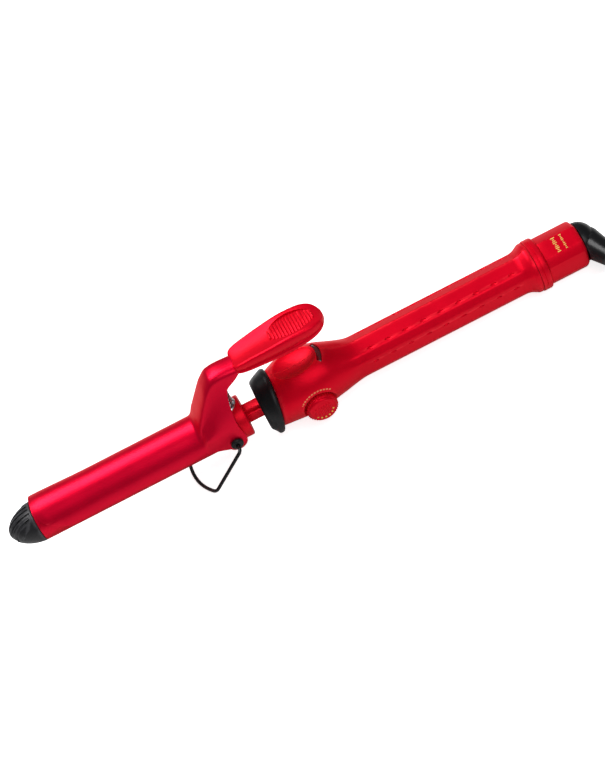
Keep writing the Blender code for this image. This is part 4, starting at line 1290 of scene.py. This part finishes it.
class BuildPlug(bpy.types.Operator):
    """Two-pin plug that lies on the coil"""

    bl_idname = "curling_iron.build_plug"
    bl_label = "Plug"

    def execute(self, context):
        wide = [(0, 3.9), (1.0, 4.4), (11, 5.4), (13, 6.4), (16, 9.4), (19, 11.2), (33.5, 12.0),
                (35.3, 11.8), (36, 11.0)]
        tall = [(0, 3.9), (1.0, 4.4), (11, 5.2), (13, 5.6), (16, 6.8), (19, 7.3), (33.5, 7.4),
                (35.3, 7.2), (36, 6.6)]
        sections = []
        stations = spread(0, 12, 17) + spread(13, 33, 21) + [34, 35, 35.6, 36]
        for i, along in enumerate(stations):
            soft = 1.0 - 0.42 * ease(along, 11, 18)
            w, h = curve_at(along, wide), curve_at(along, tall)
            if 1 < along < 11 and i % 4 == 2:
                w, h = w - 0.8, h - 0.8
            ring = []
            for k in range(72):
                t = 2 * math.pi * k / 72
                y, z = math.sin(t), math.cos(t)
                grip = 0.0
                if abs(z) < 0.75 and 20 < along < 31:
                    grip = 0.45 * (0.5 + 0.5 * math.cos(math.pi * (along - 20) / 1.1))
                ring.append((PLUG_X + (w - grip) * math.copysign(abs(y) ** soft, y),
                             PLUG_REAR + along, PLUG_Z + h * math.copysign(abs(z) ** soft, z)))
            sections.append(ring)
        body = skin("plug_shell", sections)
        soften(body, 0.2, 2, 40)
        fit(body, "root", "black_plastic", black_plastic(), "plug_body", placed=True, angle=35)
        for side, name in ((-1, "plug_pin_a"), (1, "plug_pin_b")):
            x = PLUG_X + side * 6.35
            pin = box("blade_" + name[-1], (x - 0.75, PLUG_REAR + 35, PLUG_Z - 3.2),
                      (x + 0.75, PLUG_REAR + 52.0, PLUG_Z + 3.2), 0.35, 3)
            hole = drawn("hole", [(-2, 1.6), (2, 1.6)], 24)
            cut(pin, stand(hole, (x, PLUG_REAR + 47.5, PLUG_Z)))
            fit(pin, "root", "pin_metal", pin_metal(), name, placed=True)
        return {"FINISHED"}


class BuildCord(bpy.types.Operator):
    """Mains cord from the elbow to the plug, coiled and tied behind the iron"""

    bl_idname = "curling_iron.build_cord"
    bl_label = "Cord and tie"

    def execute(self, context):
        points = cord_points()
        cord = wire("mains_cord", points, sizes().cord_diameter / 2 / MM, 16)
        fit(cord, None, "cord_rubber", cord_rubber(), "cord_lead", "cord_coil", "cord_tail",
            placed=True, angle=60)
        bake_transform(cord)
        tie = self.build_tie()
        deselect()
        return {"FINISHED"}

    def build_tie(self):
        """Flat strap once round the bundle, with its fastened end on top."""
        x, y = COIL_CENTRE
        out, wide, up, tall, square = 34.05, 9.75, 10.35, 9.6, 0.42
        loop = []
        for k in range(64):
            t = 2 * math.pi * k / 64
            c, s = math.cos(t), math.sin(t)
            loop.append((out + wide * math.copysign(abs(c) ** square, c),
                         up + tall * math.copysign(abs(s) ** square, s)))
        sections = [[(x + side * 5, y + a, b) for a, b in loop] for side in (-1, 1)]
        tie = skin("cord_tie_strap", sections)
        edit(tie)
        bpy.ops.mesh.select_mode(type="FACE")
        bpy.ops.mesh.select_all(action="DESELECT")
        mesh = bmesh.from_edit_mesh(tie.data)
        for face in mesh.faces:
            face.select = len(face.verts) > 4
        bpy.ops.mesh.delete(type="ONLY_FACE")
        done()
        apply_modifier(tie, "SOLIDIFY", thickness=0.8 * MM, offset=-1)
        end = box("end", (x - 4.8, y + 28, 20.0), (x + 4.8, y + 41.5, 20.8), 0.3, 2)
        tie = join([tie, end])
        tie.name = tie.data.name = "cord_tie_strap"
        soften(tie, 0.2, 2, 40)
        return fit(tie, "root", "tie_strap", strap(), "cord_tie", placed=True)


# ------------------------------------------------------------------ inside pieces and stage


class PaintInside(bpy.types.Operator):
    """Finishes of the pieces inside the barrel and handle"""

    bl_idname = "curling_iron.paint_inside"
    bl_label = "Inside pieces"

    def execute(self, context):
        looks = {
            "heater_aluminium": dict(colour=(0.70, 0.71, 0.73), roughness=0.38, metallic=1.0,
                                     hairlines=0.8),
            "ceramic": dict(colour=(0.85, 0.84, 0.80), roughness=0.55, grain=1200.0, depth=0.15),
            "board": dict(colour=(0.02, 0.16, 0.06), roughness=0.4, grain=2000.0, depth=0.2),
            "lead_sleeve": dict(colour=(0.80, 0.78, 0.70), roughness=0.8, grain=2600.0,
                                depth=0.6),
        }
        slots = {s["node"]: s["material_slot"] for s in frame["record"]["subparts"]}
        for name, obj in frame["nodes"].items():
            if obj.hide_render:
                continue
            if slots[name] in looks:
                material = finish(slots[name] + "_inside", **looks[slots[name]])
            else:
                material = black_plastic() if slots[name] == "black_plastic" else cord_rubber()
            for slot in obj.material_slots:
                slot.material = material
        return {"FINISHED"}


class BuildStage(bpy.types.Operator):
    """Pale table, soft studio light and camera"""

    bl_idname = "curling_iron.build_stage"
    bl_label = "Stage"

    def execute(self, context):
        floor = primitive("plane", "table", size=6)
        edit(floor)
        bpy.ops.mesh.subdivide(number_cuts=3)
        done()
        floor.data.materials.append(self.paper())
        self.lights()
        self.camera(context)
        return {"FINISHED"}

    def paper(self):
        """White paper that hides most of the shade on it from the camera."""
        paper = bpy.data.materials.new("white_table")
        paper.use_nodes = True
        tree = paper.node_tree
        shader = tree.nodes["Principled BSDF"]
        shader.inputs["Roughness"].default_value = 0.8
        shader.inputs["Specular IOR Level"].default_value = 0.1
        place = node(tree, "TexCoord").outputs["Object"]
        noise = node(tree, "TexNoise", [("Vector", place)], Scale=30.0, Detail=4.0)
        shade = mixed(tree, noise.outputs["Fac"], (0.84, 0.84, 0.84), (0.88, 0.88, 0.88))
        tree.links.new(shade, shader.inputs["Base Color"])
        shader.inputs["Emission Color"].default_value = (0.8, 0.8, 0.8, 1)
        seen = node(tree, "LightPath").outputs["Is Camera Ray"]
        tree.links.new(seen, shader.inputs["Emission Strength"])
        return paper

    def lights(self):
        world = bpy.data.worlds.new("studio")
        bpy.context.scene.world = world
        world.use_nodes = True
        back = world.node_tree.nodes["Background"]
        back.inputs["Color"].default_value = (1, 1, 1, 1)
        back.inputs["Strength"].default_value = WORLD_LIGHT
        for name, place, size, power in LAMPS:
            deselect()
            bpy.ops.object.light_add(type="AREA", location=place)
            lamp = bpy.context.object
            lamp.name = name
            lamp.data.shape = "SQUARE"
            lamp.data.size = size
            lamp.data.energy = power
            lamp.rotation_euler = (-Vector(place)).to_track_quat("-Z", "Y").to_euler()

    def camera(self, context):
        deselect()
        bpy.ops.object.camera_add()
        camera = bpy.context.object
        back = Vector((0, -math.cos(CAMERA_RISE), math.sin(CAMERA_RISE)))
        over = Vector((0, math.sin(CAMERA_RISE), math.cos(CAMERA_RISE)))
        along = Vector((1, 0, 0))
        right = along * math.cos(CAMERA_ROLL) - over * math.sin(CAMERA_ROLL)
        up = along * math.sin(CAMERA_ROLL) + over * math.cos(CAMERA_ROLL)
        aim = (along * CAMERA_AIM[0] - over * CAMERA_AIM[1]) * MM
        pose = Matrix((right, up, back)).transposed().to_4x4()
        pose.translation = aim + back * CAMERA_DISTANCE
        camera.matrix_world = IRON @ pose
        camera.data.lens = CAMERA_LENS
        camera.data.sensor_width = 36
        camera.data.dof.use_dof = False
        context.scene.camera = camera
        context.scene.view_settings.view_transform = "Standard"


OPERATORS = (BuildStage, BuildElbow, BuildPlug, BuildCord, BuildTip, BuildBarrel, BuildClip,
             BuildThumbRest, BuildHinge, BuildWireRest, BuildGuard, BuildHandle, BuildDial,
             BuildRearEnd, PaintInside)


class IronPanel(bpy.types.Panel):
    """Sizes, colours and build steps of the curling iron"""

    bl_idname = "VIEW3D_PT_curling_iron"
    bl_label = "Curling Iron"
    bl_space_type = "VIEW_3D"
    bl_region_type = "UI"
    bl_category = "Curling Iron"

    def draw(self, context):
        column = self.layout.column()
        for group in (context.scene.iron_sizes, context.scene.iron_colours):
            for name in group.__annotations__:
                column.prop(group, name)
        for operator in OPERATORS:
            column.operator(operator.bl_idname)


CLASSES = (IronSizes, IronColours, *OPERATORS, IronPanel)


def register():
    for item in CLASSES:
        bpy.utils.register_class(item)
    bpy.types.Scene.iron_sizes = bpy.props.PointerProperty(type=IronSizes)
    bpy.types.Scene.iron_colours = bpy.props.PointerProperty(type=IronColours)


def unregister():
    del bpy.types.Scene.iron_sizes
    del bpy.types.Scene.iron_colours
    for item in reversed(CLASSES):
        bpy.utils.unregister_class(item)


def main():
    register()
    for operator in OPERATORS:
        group, name = operator.bl_idname.split(".")
        getattr(getattr(bpy.ops, group), name)()
    deselect()


if __name__ == "__main__":
    main()
